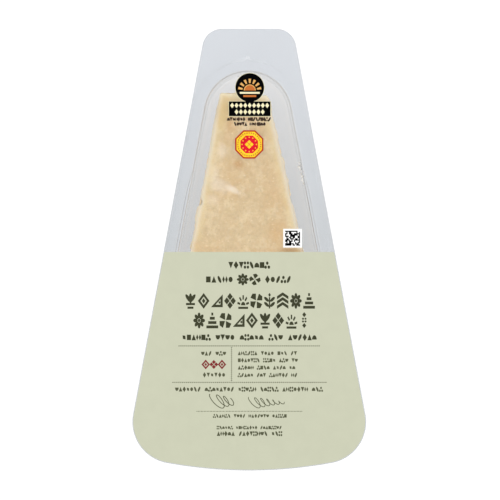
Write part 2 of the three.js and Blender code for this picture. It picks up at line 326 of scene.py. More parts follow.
def layer(tree, under, over, mask, strength=1.0):
    """The colour `under` with `over` laid on it where the mask is 1."""
    amount = compute(tree, "MULTIPLY", mask, strength)
    return node(tree, "Mix", {0: amount, 6: under, 7: over}, data_type="RGBA", blend_type="MIX").outputs[2]


def toned(colour, factor):
    return tuple(min(1.0, factor * c) for c in colour[:3]) + (1.0,)


print("groups ready:", [g.name for g in bpy.data.node_groups])

# %% [markdown]
# ## The outline of the pack
# Seen from above, everything in the tray follows one family of outlines: two slanted sides, a round or straight
# narrow end, and a bowed wide end with round corners. Each outline is a list of points with the direction that
# faces out of the pack there. Moved along those directions, it gives every even inset or outset that the tray
# needs, so one list serves the flange, the lip, the wall and the foot.

# %% Outlines
PACK_LENGTH = 212.0
SIDE_SLOPE = 0.188
TAPER = math.atan(SIDE_SLOPE)
BOW_RADIUS = 218.0
BOW_CENTRE_Y = -PACK_LENGTH / 2 + BOW_RADIUS
FLANGE = {"end_y": PACK_LENGTH / 2, "half_width": 40.9, "corner": 9.5, "wide_corner": 20.0, "bow": BOW_RADIUS}
FLANGE_WIDTH = 7.3
WELL_TOP_Y = PACK_LENGTH / 2 - 20.3
WELL_SHIFT = -0.7  # the well was punched out a little to the left in the flange
WELL_HALF_WIDTH = FLANGE["half_width"] - FLANGE_WIDTH / math.cos(TAPER)
WELL = {
    "end_y": WELL_TOP_Y,
    "half_width": WELL_HALF_WIDTH,
    "corner": (WELL_HALF_WIDTH - SIDE_SLOPE * WELL_TOP_Y) * math.cos(TAPER) / (1 - math.sin(TAPER)),
    "wide_corner": FLANGE["wide_corner"] - FLANGE_WIDTH,
    "bow": BOW_RADIUS - FLANGE_WIDTH,
}
print("the well is", round(2 * WELL["corner"], 1), "mm wide at its arch")

# %% [markdown]
# The straight sides touch both corners, and the wide corner touches the bow. Where they meet follows from the
# sizes, so nothing has to be set by eye. Half an outline is drawn, and its mirror image closes it.

# %% Outline points
END_STEPS, CORNER_STEPS, SIDE_STEPS, WIDE_STEPS, BOW_STEPS = 16, 22, 60, 22, 30


def corner_centres(end_y, half_width, corner, wide_corner, bow):
    """Centres of the narrow and the wide corner, and the angle at which the wide corner meets the bow."""
    narrow_y = end_y - corner
    narrow_x = max(0.0, half_width - SIDE_SLOPE * narrow_y - corner / math.cos(TAPER))
    offset = half_width - wide_corner / math.cos(TAPER)
    a = 1 + SIDE_SLOPE**2
    b = SIDE_SLOPE * offset + BOW_CENTRE_Y
    c = offset**2 + BOW_CENTRE_Y**2 - (bow - wide_corner) ** 2
    wide_y = (b - math.sqrt(b * b - a * c)) / a
    wide_x = offset - SIDE_SLOPE * wide_y
    return (narrow_x, narrow_y), (wide_x, wide_y), math.atan2(wide_y - BOW_CENTRE_Y, wide_x)


def outline(end_y, half_width, corner, wide_corner, bow):
    """Points round an outline, clockwise from the middle of the narrow end, as rows of x, y and outward x, y."""
    (nx, ny), (wx, wy), bow_angle = corner_centres(end_y, half_width, corner, wide_corner, bow)

    def arc(cx, cy, radius, start, stop, count):
        turn = np.linspace(start, stop, count, endpoint=False)
        return np.c_[cx + radius * np.cos(turn), cy + radius * np.sin(turn), np.cos(turn), np.sin(turn)]

    if nx > 0:
        across = np.linspace(0, nx, END_STEPS, endpoint=False)
        end = np.c_[across, np.full(END_STEPS, end_y), np.zeros(END_STEPS), np.ones(END_STEPS)]
        corner_start = math.pi / 2
    else:
        corner_start = math.pi / 3
        end = arc(0, ny, corner, math.pi / 2, corner_start, END_STEPS)
    narrow = arc(nx, ny, corner, corner_start, TAPER, CORNER_STEPS)
    wide = arc(wx, wy, wide_corner, TAPER, bow_angle, WIDE_STEPS)
    side_start = np.array([nx, ny]) + corner * np.array([math.cos(TAPER), math.sin(TAPER)])
    along = np.linspace(0, 1, SIDE_STEPS, endpoint=False)[:, None]
    side_xy = side_start * (1 - along) + wide[0, :2] * along
    side = np.c_[side_xy, np.full(SIDE_STEPS, math.cos(TAPER)), np.full(SIDE_STEPS, math.sin(TAPER))]
    wide_end = arc(0, BOW_CENTRE_Y, bow, bow_angle, -math.pi / 2, BOW_STEPS)
    bottom = [[0, BOW_CENTRE_Y - bow, 0, -1]]
    right = np.concatenate([end, narrow, side, wide, wide_end, bottom])
    left = right[-2:0:-1] * np.array([-1, 1, -1, 1])
    return np.concatenate([right, left])


flange_line = outline(**FLANGE)
well_line = outline(**WELL) + (WELL_SHIFT, 0, 0, 0)
print(len(flange_line), "points an outline")

# %% [markdown]
# A ring is an outline at one inset and one height. A skin is drawn over a run of rings by joining each point to
# the same point of the next ring, and a closed part needs only its first and last ring filled in.

# %% Rings and skins
def ring(line, inset, height):
    """An outline moved inwards by inset (one number, or one for each point) at one height, in mm."""
    inset = np.broadcast_to(inset, len(line))[:, None]
    return np.c_[line[:, :2] - inset * line[:, 2:], np.broadcast_to(height, len(line))]


def make_object(name, points, faces, material, sharp=40.0):
    """A smooth-shaded mesh object from points in mm, with edges sharper than the given angle kept crisp."""
    mesh = bpy.data.meshes.new(name)
    mesh.from_pydata((np.asarray(points) * MM).tolist(), [], [list(map(int, f)) for f in faces])
    mesh.materials.append(material)
    mesh.shade_smooth()
    mesh.set_sharp_from_angle(angle=math.radians(sharp))
    mesh.validate()
    made = bpy.data.objects.new(name, mesh)
    scene.collection.objects.link(made)
    return made


def skin_faces(count, rings):
    """Four-sided faces between neighbouring rings, facing out on a run that starts inside and goes up and over."""
    i = np.arange(count)
    j = (i + 1) % count
    faces = []
    for r in range(rings - 1):
        a, b = r * count, (r + 1) * count
        faces.extend(np.c_[a + i, a + j, b + j, b + i].tolist())
    return faces


def closed_skin(name, rings, material, sharp):
    count = len(rings[0])
    faces = skin_faces(count, len(rings))
    faces.append(list(range(count))[::-1])
    faces.append(list(range((len(rings) - 1) * count, len(rings) * count)))
    return make_object(name, np.concatenate(rings), faces, material, sharp)


print("a ring has", ring(well_line, 0, 0).shape[0], "points")

# %% [markdown]
# ## Clear plastic
# Real clear sheet does three things: it dims and slightly blues what is behind it, it mirrors the room more and
# more the flatter you look along it, and it carries a little haze. A full glass shader would do it too, but
# slowly and with dark shadows. A thin sheet hardly bends light, so a Transparent shader does the seeing-through,
# a Principled shader is mixed in by a small share for the haze, and a Glossy one by Fresnel for the mirroring.

# %% Clear plastic material
MOST_MIRRORED = 0.6
PLASTIC_IOR = 1.5
WAVE_SIZE = 9.0


def clear_plastic(name, haze, haze_colour, gloss, roughness, peel):
    """A clear sheet without its tint yet, with its node tree and its Transparent shader. haze: share of the light
    that haze scatters; gloss: strength of the mirroring, 1 for a bare surface; peel: depth of waviness in mm."""
    made, tree, shader = new_material(name, {"IOR": PLASTIC_IOR, "Roughness": 0.5, "Specular IOR Level": 0.0})
    cloud = cloudy(tree, 14.0, 3.0, 0.3, 0.7)
    tree.links.new(layer(tree, haze_colour, toned(haze_colour, 1.12), cloud), shader.inputs["Base Color"])
    shine = between(tree, cloud, roughness * 0.8, roughness * 1.3)
    mirror = node(tree, "BsdfGlossy", {"Roughness": shine, "Normal": grain_bump(tree, WAVE_SIZE, peel)})
    see_through = node(tree, "BsdfTransparent")
    hazy = node(tree, "MixShader", {0: haze, 1: see_through.outputs[0], 2: shader.outputs[0]})
    fresnel = node(tree, "Fresnel", {"IOR": PLASTIC_IOR})
    bright = compute(tree, "MULTIPLY", fresnel.outputs[0], gloss)
    capped = compute(tree, "MINIMUM", bright, MOST_MIRRORED)
    outside = compute(tree, "SUBTRACT", 1.0, node(tree, "NewGeometry").outputs["Backfacing"])
    share = compute(tree, "MULTIPLY", capped, outside)
    mixed = node(tree, "MixShader", {0: share, 1: hazy.outputs[0], 2: mirror.outputs[0]})
    tree.links.new(mixed.outputs[0], tree.nodes["Material Output"].inputs["Surface"])
    return made, tree, see_through


film_plastic, _, film_through = clear_plastic(
    "film_plastic", haze=0.012, haze_colour=(0.62, 0.64, 0.66, 1.0), gloss=0.7, roughness=0.07, peel=0.03
)
film_through.inputs["Color"].default_value = (0.995, 0.996, 0.997, 1.0)
print("plastic:", film_plastic.name)

# %% [markdown]
# The tray's tint isn't even. It is clearer at the narrow end and greyer towards the wide end, in the well sooner
# than on the flange: painted shade, as under the printed half of the film. The flange is also bluer than the well:
# painted reflection, with the sky in the flange's blue and warm light off the cheese in the well's grey. And where
# the sheet turns sharply, light is bent away and a thin dark line shows: an attribute called fold, stored with the
# mesh, says where.

# %% Tray plastic
CLEAREST_Y, GREYEST_Y = 86.0, 5.0
WELL_HASTE = 0.4  # the power that makes the well turn grey sooner; 1 would keep it even with the flange
# both pairs darken towards the wide end as painted shade; their difference in hue is painted reflection
FLANGE_TINTS_AND_SHADE = ((0.821, 0.836, 0.858, 1.0), (0.775, 0.79, 0.805, 1.0))  # at the narrow end, at the label
WELL_TINTS_AND_SHADE = ((0.942, 0.942, 0.947, 1.0), (0.786, 0.79, 0.793, 1.0))
WALL_TINT = (0.92, 0.925, 0.93, 1.0)
FOLD_TINT = (0.42, 0.427, 0.44, 1.0)
WALL_FROM, WELL_FROM = (25.0, 22.0), (2.4, 1.4)  # heights at which these tints start and are full


def tray_tint_and_shade(tree):
    place = own_xyz(tree)
    down = ramp(tree, place["Y"], CLEAREST_Y * MM, GREYEST_Y * MM)
    soon = compute(tree, "POWER", down, WELL_HASTE)
    colour = layer(tree, *FLANGE_TINTS_AND_SHADE, down)
    well = layer(tree, *WELL_TINTS_AND_SHADE, soon)
    for tone, (start, end) in ((WALL_TINT, WALL_FROM), (well, WELL_FROM)):
        colour = layer(tree, colour, tone, ramp(tree, place["Z"], start * MM, end * MM))
    return layer(tree, colour, FOLD_TINT, stored(tree, "fold"))


tray_plastic, tray_tree, tray_through = clear_plastic(
    "tray_plastic", haze=0.03, haze_colour=(0.66, 0.69, 0.74, 1.0), gloss=1.0, roughness=0.06, peel=0.02
)
tray_tree.links.new(tray_tint_and_shade(tray_tree), tray_through.inputs["Color"])
print("plastic:", tray_plastic.name)

# %% [markdown]
# ## Tray
# The tray is drawn from a warm sheet over a mould, so it has one thickness all over and no sharp corner. Its
# section runs from the raised floor panel down to the foot, up the slanted wall, out over a small ledge, round
# the lip and across the flange, and then back the same way underneath. Quarter turns give the round parts.

# %% Tray profile
SHEET = 0.625
WALL_DRAFT = math.radians(3)
FOOT_RADIUS = 2.0
FOOT_WIDTH = 4.5
PANEL_RISE = 0.75
PANEL_SLOPE = 1.5
LIP_RADIUS = 1.2
TURN_STEPS = 8
LEDGE_WIDTH = 1.15
LEDGE_LEAST = 0.15
LEDGE_Z = FLANGE_TOP - 2.2
LEDGE_START_Y, LEDGE_FULL_Y = 40.0, 26.0  # the ledge grows from its least width to its full one


def smoothstep(value, low, high):
    t = np.clip((value - low) / (high - low), 0, 1)
    return t * t * (3 - 2 * t)


def quarter_turn(inset, height, radius, start, stop):
    turn = np.linspace(math.radians(start), math.radians(stop), TURN_STEPS + 1)
    return list(zip(inset + radius * np.cos(turn), height + radius * np.sin(turn)))


wall_inset = (LEDGE_Z - SHEET - FOOT_RADIUS) * math.tan(WALL_DRAFT)
floor_inset = wall_inset + FOOT_RADIUS
panel_foot = floor_inset + FOOT_WIDTH
panel_edge = panel_foot + PANEL_SLOPE
ledge_share = 1 - smoothstep(well_line[:, 1], LEDGE_FULL_Y, LEDGE_START_Y)
ledge = LEDGE_LEAST + (LEDGE_WIDTH - LEDGE_LEAST) * ledge_share
print(f"wall leans {wall_inset:.2f} mm, floor panel starts {panel_edge:.2f} mm inside the mouth")

# %% [markdown]
# The weld between film and tray is a low rounded ridge on the flange. It follows the mouth of the well at an even
# distance, and comes to a small peak in the middle of the narrow end, where peeling starts.

# %% Seal line
SEAL_OFFSET = 5.3
SEAL_WIDTH = 1.2
PEAK_HEIGHT = 1.6
PEAK_HALF_WIDTH = 1.1
narrow_half = well_line[:, 1] > 0
peak = PEAK_HEIGHT * narrow_half * np.clip(1 - np.abs(well_line[:, 0] - WELL_SHIFT) / PEAK_HALF_WIDTH, 0, 1)


def seal_ring(across, height):
    """A ring along the seal line: across goes from -1 at its inner edge to 1 at its outer edge."""
    return ring(well_line, -(SEAL_OFFSET + across * SEAL_WIDTH / 2 + peak), height)


seal_rings = [
    seal_ring(across, FLANGE_TOP + SEAL_RISE * (0.5 + 0.5 * math.cos(math.pi * across)))
    for across in np.linspace(-1, 1, 9)
]
print(len(seal_rings), "rings across the seal line")

# %% [markdown]
# The two folds of the mouth show as a double line: one at the lip, one where the wall starts. Round the narrow end
# they lie together and are equally dark. Along the ledge they part: the lip's line is fainter there, most of all
# on the right, where the wall's line is darkest. A short bevel at the flange's rim is a little dark as well.

# %% Folds
FOLD_DARK = 0.66
LIP_FAINTER, LIP_FAINTER_RIGHT = 0.3, 0.15
MOUTH_DARKER_RIGHT = 0.34
LIP_FADE = 0.25  # how much of its dark the lip loses with each step up its round
LEDGE_FOLDS = ((0.2, 0.2), (0.6, 0.1))  # across the ledge as a share of its width, and how dark it is there
RIM_DARK = 0.1
RIGHT_FROM, RIGHT_FULL = 0.0, 15.0  # where a side starts to count as the right one, and where it does in full
right_side = smoothstep(well_line[:, 0], RIGHT_FROM, RIGHT_FULL)
lip_fold = FOLD_DARK - ledge_share * (LIP_FAINTER + LIP_FAINTER_RIGHT * right_side)
mouth_fold = FOLD_DARK + MOUTH_DARKER_RIGHT * right_side * ledge_share
print("the lip's line is", lip_fold.min().round(2), "to", lip_fold.max().round(2), "dark")

# %% [markdown]
# Now the rings can be laid in order, first over the upper side from the middle of the floor to the rim of the
# flange, then back underneath, one sheet's thickness away.

# %% Tray mesh
MOUTH_BEVEL = (0.15, 0.4)  # inwards and down from the edge between wall and ledge
RIM_BEVEL = 0.12
RIM_BAND = 0.6  # where the rim's dark has faded
FOLD_REACH = 0.2  # how far down the wall the line of the mouth fades, as a share of its height


def tray_rings():
    """The tray's rings in order, and how strong the dark line of a fold is on each."""
    rings, folds = [], []

    def add(inset, z, fold=0.0, line=well_line):
        rings.append(ring(line, inset, z))
        folds.append(np.broadcast_to(fold, len(line)))

    lip_z = FLANGE_TOP - LIP_RADIUS
    bevel_in, bevel_down = MOUTH_BEVEL
    add(panel_edge, PANEL_RISE + SHEET)
    add(panel_foot, SHEET)
    for inset, z in quarter_turn(floor_inset, SHEET + FOOT_RADIUS, FOOT_RADIUS, -90, -180):
        add(inset, z)
    add(bevel_in + (wall_inset - bevel_in) * FOLD_REACH, LEDGE_Z - bevel_down - LEDGE_Z * FOLD_REACH)
    add(bevel_in, LEDGE_Z - bevel_down, mouth_fold)
    add(0.0, LEDGE_Z, mouth_fold)
    for share, fold in LEDGE_FOLDS + ((0.8, lip_fold), (1.0, lip_fold)):
        add(-share * ledge, LEDGE_Z + share * LEDGE_LEAST, fold)
    for step, (inset, z) in enumerate(quarter_turn(-LIP_RADIUS, lip_z, LIP_RADIUS, 0, 90)):
        add(inset - ledge, z, lip_fold * max(0.0, 1 - LIP_FADE * step))
    rings.extend(seal_rings)
    folds.extend([np.zeros(len(well_line))] * len(seal_rings))
    add(RIM_BAND, FLANGE_TOP, 0.0, flange_line)
    for inset, below in ((RIM_BEVEL, 0), (0, RIM_BEVEL), (0, SHEET - RIM_BEVEL), (RIM_BEVEL, SHEET)):
        add(inset, FLANGE_TOP - below, RIM_DARK, flange_line)
    add(RIM_BAND, FLANGE_TOP - SHEET, 0.0, flange_line)
    for inset, z in quarter_turn(-LIP_RADIUS, lip_z, LIP_RADIUS - SHEET, 90, 0):
        add(inset - ledge, z)
    add(-SHEET - ledge, LEDGE_Z + LEDGE_LEAST - SHEET)
    add(-SHEET, LEDGE_Z - SHEET)
    for inset, z in quarter_turn(floor_inset, SHEET + FOOT_RADIUS, FOOT_RADIUS + SHEET, 180, 270):
        add(inset, z)
    add(panel_foot, 0.0)
    add(panel_edge, PANEL_RISE)
    return rings, folds


rings, folds = tray_rings()
tray = closed_skin("tray_shell", rings, tray_plastic, sharp=60.0)
fold_values = np.concatenate(folds).astype(np.float32)
tray.data.attributes.new("fold", "FLOAT", "POINT").data.foreach_set("value", fold_values)
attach(tray, "root")
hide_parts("tray")
print("tray:", len(tray.data.polygons), "faces")

# %% [markdown]
# ## Lid film
# The film is pulled tight over the flange, but never quite flat: long shallow waves run across the open part.
# Its height is one function of place, which the print on it will follow too. The waves fade out towards the
# weld, where the tray holds the film.

# %% Film height
FILM_THICKNESS = 0.08
FILM_INSET = 0.12
WAVE_HEIGHT = 0.1
WAVE_MARGIN = 14.0  # the waves reach their full height this far in from the flange's edge
WAVE_ENDS = ((-100, -85), (80, 98))  # along the pack: where they grow, and where they die away
FILM_ROWS, SHEET_COLUMNS = 140, 61


def half_width_at(y, end_y, half_width, corner, wide_corner, bow):
    """Half the width of an outline at each y, in mm."""
    (nx, ny), (wx, wy), _ = corner_centres(end_y, half_width, corner, wide_corner, bow)
    y = np.asarray(y, float)
    sides = half_width - SIDE_SLOPE * y
    narrow = nx + np.sqrt(np.clip(corner**2 - (y - ny) ** 2, 0, None))
    wide = wx + np.sqrt(np.clip(wide_corner**2 - (y - wy) ** 2, 0, None))
    bowed = np.sqrt(np.clip(bow**2 - (y - BOW_CENTRE_Y) ** 2, 0, None))
    side_top = ny + corner * math.sin(TAPER)
    side_bottom = wy + wide_corner * math.sin(TAPER)
    wide_bottom = BOW_CENTRE_Y + (wy - BOW_CENTRE_Y) * bow / math.hypot(wx, wy - BOW_CENTRE_Y)
    return np.select([y > side_top, y > side_bottom, y > wide_bottom], [narrow, sides, wide], bowed)


def film_height(x, y):
    """Top of the film at a place, in mm."""
    y = np.asarray(y, float)
    room = np.clip((half_width_at(y, **FLANGE) - np.abs(x)) / WAVE_MARGIN, 0, 1)
    ends = smoothstep(y, *WAVE_ENDS[0]) * (1 - smoothstep(y, *WAVE_ENDS[1]))
    waves = np.sin(x / 9.0 + y / 31.0) + 0.7 * np.sin(y / 13.0 - x / 23.0 + 1.0) + 0.5 * np.sin((x + y) / 17.0)
    return FILM_Z + FILM_THICKNESS + WAVE_HEIGHT * room * ends * (waves + 1.0)


print("film height in the middle:", round(float(film_height(0.0, 0.0)), 3), "mm")

# %% [markdown]
# A sheet with an outline and an even spread of points inside is easiest to lay in rows: each row runs from the
# left edge of the outline to the right edge at its own y. Rows lie closer together near the ends, where the edge
# turns fast.

# %% Sheet helper
END_GAP = 1e-4  # a first row right at the end of the bow would have no width, so it starts this far in


def rows_between(low, high, count):
    """Row positions that crowd towards both ends."""
    return low + (high - low) * (0.5 - 0.5 * np.cos(np.linspace(0, math.pi, count)))


def sheet_points(spec, inset, low, high, rows, columns):
    """Points of a sheet inside an outline, from one y to another, as an array rows x columns x 2."""
    shrunk = dict(spec, half_width=spec["half_width"] - inset / math.cos(TAPER), end_y=spec["end_y"] - inset)
    for key in ("corner", "wide_corner", "bow"):
        shrunk[key] = spec[key] - inset
    ys = rows_between(low, high, rows)
    halves = half_width_at(ys, **shrunk)
    xs = halves[:, None] * np.linspace(-1, 1, columns)[None, :]
    return np.stack([xs, np.broadcast_to(ys[:, None], xs.shape)], axis=-1)


def sheet_object(name, grid, material, thickness, lift=0.0):
    """A thin closed sheet over a grid of places, lying on the film at a given lift."""
    rows, columns = grid.shape[:2]
    x, y = grid[..., 0].ravel(), grid[..., 1].ravel()
    top = film_height(x, y) + lift
    points = np.concatenate([np.c_[x, y, top], np.c_[x, y, top - thickness]])
    index = np.arange(rows * columns).reshape(rows, columns)
    a, b, c, d = index[:-1, :-1], index[:-1, 1:], index[1:, 1:], index[1:, :-1]
    upper = np.stack([a, b, c, d], axis=-1).reshape(-1, 4)
    lower = upper[:, ::-1] + rows * columns
    rim = np.concatenate([index[0, :], index[1:, -1], index[-1, -2::-1], index[-2:0:-1, 0]])
    after = np.roll(rim, -1)
    walls = np.c_[rim, rim + rows * columns, after + rows * columns, after]
    return make_object(name, points, np.concatenate([upper, lower, walls]), material, sharp=30.0)


film_end = PACK_LENGTH / 2 - FILM_INSET
film_grid = sheet_points(FLANGE, FILM_INSET, -film_end + END_GAP, film_end, FILM_ROWS, SHEET_COLUMNS)
film = sheet_object("clear_film", film_grid, film_plastic, FILM_THICKNESS)
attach(film, "root")
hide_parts("lid_film")
print("film:", len(film.data.polygons), "faces")

# %% [markdown]
# Where the film is welded to the ridge it turns slightly milky. A narrow ribbon along the whole seal line, mostly
# clear and a little white, gives that faint pale arc. It shows most at the narrow end, and a small soft spot marks
# the peak.

# %% Weld finish
WELD_ALPHA = (0.05, 0.11)
WELD_FADE = (5.0, 16.0)  # how far from the middle the arc starts to fade, and where it is at its faintest
WELD_FAINTEST = 0.06
PEAK_SPOT = (WELL_SHIFT, WELL_TOP_Y + SEAL_OFFSET + PEAK_HEIGHT - 0.4, FILM_Z)
PEAK_REACH = (1.8, 2.6, 9.0)
PEAK_ALPHA = 0.15
weld_white, weld_tree, weld_shader = new_material(
    "weld_white", {"Roughness": 0.35, "Base Color": (0.9, 0.92, 0.94, 1.0)}
)
weld_alpha = between(weld_tree, cloudy(weld_tree, 6.0, 2.0, 0.3, 0.7), *WELD_ALPHA)
weld_side = compute(weld_tree, "ABSOLUTE", own_xyz(weld_tree)["X"])
fade_from, fade_to = [x * MM for x in WELD_FADE]
weld_fade = node(weld_tree, "MapRange", {0: weld_side, 1: fade_from, 2: fade_to, 3: 1.0, 4: WELD_FAINTEST})
weld_share = compute(weld_tree, "MULTIPLY", weld_alpha, weld_fade.outputs["Result"])
peak_mask = place_group(
    weld_tree, soft_spot, Centre=[v * MM for v in PEAK_SPOT], Reach=[v * MM for v in PEAK_REACH]
)
weld_total = compute(weld_tree, "MULTIPLY_ADD", peak_mask, PEAK_ALPHA, weld_share)
weld_tree.links.new(weld_total, weld_shader.inputs["Alpha"])
print("weld finish:", weld_white.name)

# %% [markdown]
# The ribbon itself is four rings joined into a flat tube, just above the film.

# %% Weld
WELD_HALF = 0.7
WELD_THICKNESS = 0.01
WELD_LIFT = 0.02
weld_z = FILM_Z + FILM_THICKNESS + WELD_LIFT
weld_count = len(well_line)
weld_rings = [
    ring(well_line, -(SEAL_OFFSET + side * WELD_HALF + peak), weld_z - below)
    for side, below in ((-1, WELD_THICKNESS), (-1, 0.0), (1, 0.0), (1, WELD_THICKNESS))
]
weld_faces = np.array(skin_faces(weld_count, 5)) % (4 * weld_count)
weld = make_object("weld_line", np.concatenate(weld_rings), weld_faces, weld_white)
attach(weld, "root")
print("weld line:", len(weld.data.polygons), "faces")

# %% [markdown]
# ## Cheese
# The wedge starts as a box of grid points, and every point is then placed by rule: the sides slant apart, the
# rind follows the wheel that the wedge was cut from, and edges are rounded. The grid is counted in whole steps,
# so points that two faces share can be found and joined exactly.

# %% Cheese sizes
CHEESE_THICKNESS = 24.0
TIP_Y = 74.6
RIND_Y = -89.0
CHEESE_LENGTH = TIP_Y - RIND_Y
LEFT_AT_MIDDLE, LEFT_SLOPE = 28.1, 0.186  # half width at y = 0, and how fast it shrinks towards the tip
RIGHT_AT_MIDDLE, RIGHT_SLOPE, RIGHT_SLOPE_WIDE_END = 25.7, 0.226, 0.205
TIP_SLANT = 0.08
WHEEL_RADIUS = 222.0
RIND_BULGE = 0.9
EDGE_RADIUS = 1.5
NOTCH_Y, NOTCH_DEPTH, NOTCH_REACH = 22.8, 1.0, 1.7  # a crumb that broke out of the left edge
UNDERCUT = 0.5  # how far the broken sides fall back below the cut edge
CELLS = (130, 380, 42)  # across, along and up
EDGE_LINES = 5  # grid lines kept for a rounded edge


def cheese_left(y):
    return -(LEFT_AT_MIDDLE - LEFT_SLOPE * y)


def cheese_right(y):
    return RIGHT_AT_MIDDLE - np.where(y > 0, RIGHT_SLOPE, RIGHT_SLOPE_WIDE_END) * y


print("cheese is", round(float(cheese_right(RIND_Y) - cheese_left(RIND_Y)), 1), "mm wide at the rind")

# %% [markdown]
# Broken cheese is rough at every size. A noise function gives smooth random hills of a chosen wavelength. Slow
# hills make the face swell, hills with a steep threshold make flakes, and short ones make crumbs. Narrow pits lie
# where a noise crosses zero. Such noise hangs on a square lattice, so the lattice is turned away from the faces of
# the wedge and bent, and no straight seams show.

# %% Relief
LATTICE_TURN = ((0.64, 0.48, 0.6), (-0.6, 0.8, 0.0), (-0.48, -0.36, 0.8))
BEND, BEND_LENGTH = 1.3, 4.5  # how far the plates are bent, and the wavelength of it


def corner_value(i, j, k):
    n = np.sin(i * 127.1 + j * 311.7 + k * 74.7) * 43758.5453
    return n - np.floor(n)


def noise(x, y, z, wavelength):
    """Smooth repeatable noise from -1 to 1, with one random value a wavelength."""
    at = [(a * x + b * y + c * z) / wavelength for a, b, c in LATTICE_TURN]
    low = [np.floor(v) for v in at]
    fx, fy, fz = [smoothstep(v - base, 0, 1) for v, base in zip(at, low)]

    def edge(dy, dz):
        first = corner_value(low[0], low[1] + dy, low[2] + dz)
        return first + fx * (corner_value(low[0] + 1, low[1] + dy, low[2] + dz) - first)

    near = edge(0, 0) + fy * (edge(1, 0) - edge(0, 0))
    far = edge(0, 1) + fy * (edge(1, 1) - edge(0, 1))
    return 2 * (near + fz * (far - near)) - 1


def relief(x, y, z):
    """The large forms of every cut face: swell, flakes and low bumps."""
    flakes = smoothstep(noise(x + 40, y, z, 7.5), -0.25, 0.25) - 0.5
    return 0.45 * noise(x, y, z, 26.0) + 0.28 * flakes + 0.16 * noise(x, y + 90, z, 4.0)


def crumb_relief(x, y, z):
    """The small forms: crumbs of three sizes, and pits between them."""
    crumbs = 0.13 * noise(x + 7, y, z, 2.3) + 0.1 * noise(x, y + 3, z, 1.25) + 0.07 * noise(x, y, z + 5, 0.7)
    pits = np.exp(-((noise(x, y + 31, z, 3.1) / 0.1) ** 2)) * (noise(x + 60, y, z, 9.0) > 0.15)
    return crumbs - 0.08 * pits


def crags(x, y, z):
    """Plates of two sizes and clefts on the sides, which are broken rather than cut."""
    x, y, z = (v + BEND * noise(x + start, y, z, BEND_LENGTH) for v, start in ((x, 100), (y, 200), (z, 300)))
    large = smoothstep(noise(x + 11, y, 1.4 * z, 7.5), -0.12, 0.12) - 0.5
    small = smoothstep(noise(x, y + 53, 1.2 * z, 3.4), -0.2, 0.2) - 0.5
    clefts = np.exp(-((noise(x, y + 17, 1.3 * z, 8.0) / 0.06) ** 2))
    return 0.7 * large + 0.4 * small + 0.14 * noise(x + 3, y, z, 1.6) - 0.5 * clefts


print("relief at the middle:", round(float(relief(0.0, 0.0, 20.0)), 3), "mm")

# %% [markdown]
# First the grid becomes a plain wedge-shaped block. A few grid lines are crowded into each edge, and there the
# points are pushed from the sharp corner onto a round one. The direction in which each point faces comes out of
# the same sum, and the grain will stand out along it.

# %% Rounded block
def grid_line(i, n, length):
    """Distance of grid line i of n along a length, with EDGE_LINES of them crowded into each rounded edge."""
    i = np.asarray(i, float)
    near = EDGE_RADIUS * i / EDGE_LINES
    far = length - EDGE_RADIUS * (n - i) / EDGE_LINES
    middle = EDGE_RADIUS + (i - EDGE_LINES) / (n - 2 * EDGE_LINES) * (length - 2 * EDGE_RADIUS)
    return np.where(i <= EDGE_LINES, near, np.where(n - i <= EDGE_LINES, far, middle))


def round_off(depths):
    """Pushes distances from a sharp corner onto a round one."""
    length = np.sqrt(sum(d * d for d in depths))
    scale = np.where(length > 0, np.maximum.reduce(depths) / np.maximum(length, 1e-9), 1.0)
    return [d * scale for d in depths]


def rounded_block(i, j, k):
    """Grid steps across, along and up turned into distances and the width there, points in mm, and directions."""
    nx, ny, nz = CELLS
    along = grid_line(j, ny, CHEESE_LENGTH)
    y = RIND_Y + along
    width = cheese_right(y) - cheese_left(y)
    across = grid_line(i, nx, width)
    up = grid_line(k, nz, CHEESE_THICKNESS)
    spans = ((across, width, True), (along, CHEESE_LENGTH, True), (up, CHEESE_THICKNESS, False))
    depths, signs = [], []
    for line, size, low_edge in spans:
        from_end = np.minimum(line, size - line) if low_edge else size - line
        depths.append(np.clip(EDGE_RADIUS - from_end, 0, None))
        signs.append(np.where(line < size / 2, -1.0, 1.0) if low_edge else 1.0)
    rounded = round_off(depths)
    shift = [s * (r - d) for s, r, d in zip(signs, rounded, depths)]
    normal = np.stack([s * d for s, d in zip(signs, depths)], axis=-1)
    normal /= np.maximum(np.linalg.norm(normal, axis=-1, keepdims=True), 1e-9)
    point = np.stack([cheese_left(y) + across + shift[0], y + shift[1], up + shift[2]], axis=-1)
    return across, along, up, width, point, normal


print("grid lines near an edge:", grid_line(np.arange(7), CELLS[0], 50.0).round(2))

# %% [markdown]
# Then the block is bent and broken. The rind end follows the wheel and bulges, and the tip is cut a little askew;
# high powers of the distance keep each of these at its own end. The grain stands out along each face: little on
# the rind, most on the sides, which also fall back under the cut edge. Last, a crumb is missing from the left edge.

# %% Wedge placement
RIND_SMOOTHING = 0.85  # the share of the grain that the rind hides
FLOOR_FADE = 1.5  # the grain fades out over this height at the foot, which lies flat
SIDE_FALL = 1.4  # how fast a face stops counting as a side as it turns upwards
UNDERCUT_FROM = (0.5, 6.0)  # below the top: where the sides start to fall back, and where they have
NOTCH_UPRIGHT = 0.08  # how fast the notch fades downwards, against sideways
BROKEN_SHADE = 0.3  # how much of the plates' height counts as grain when the paste is coloured


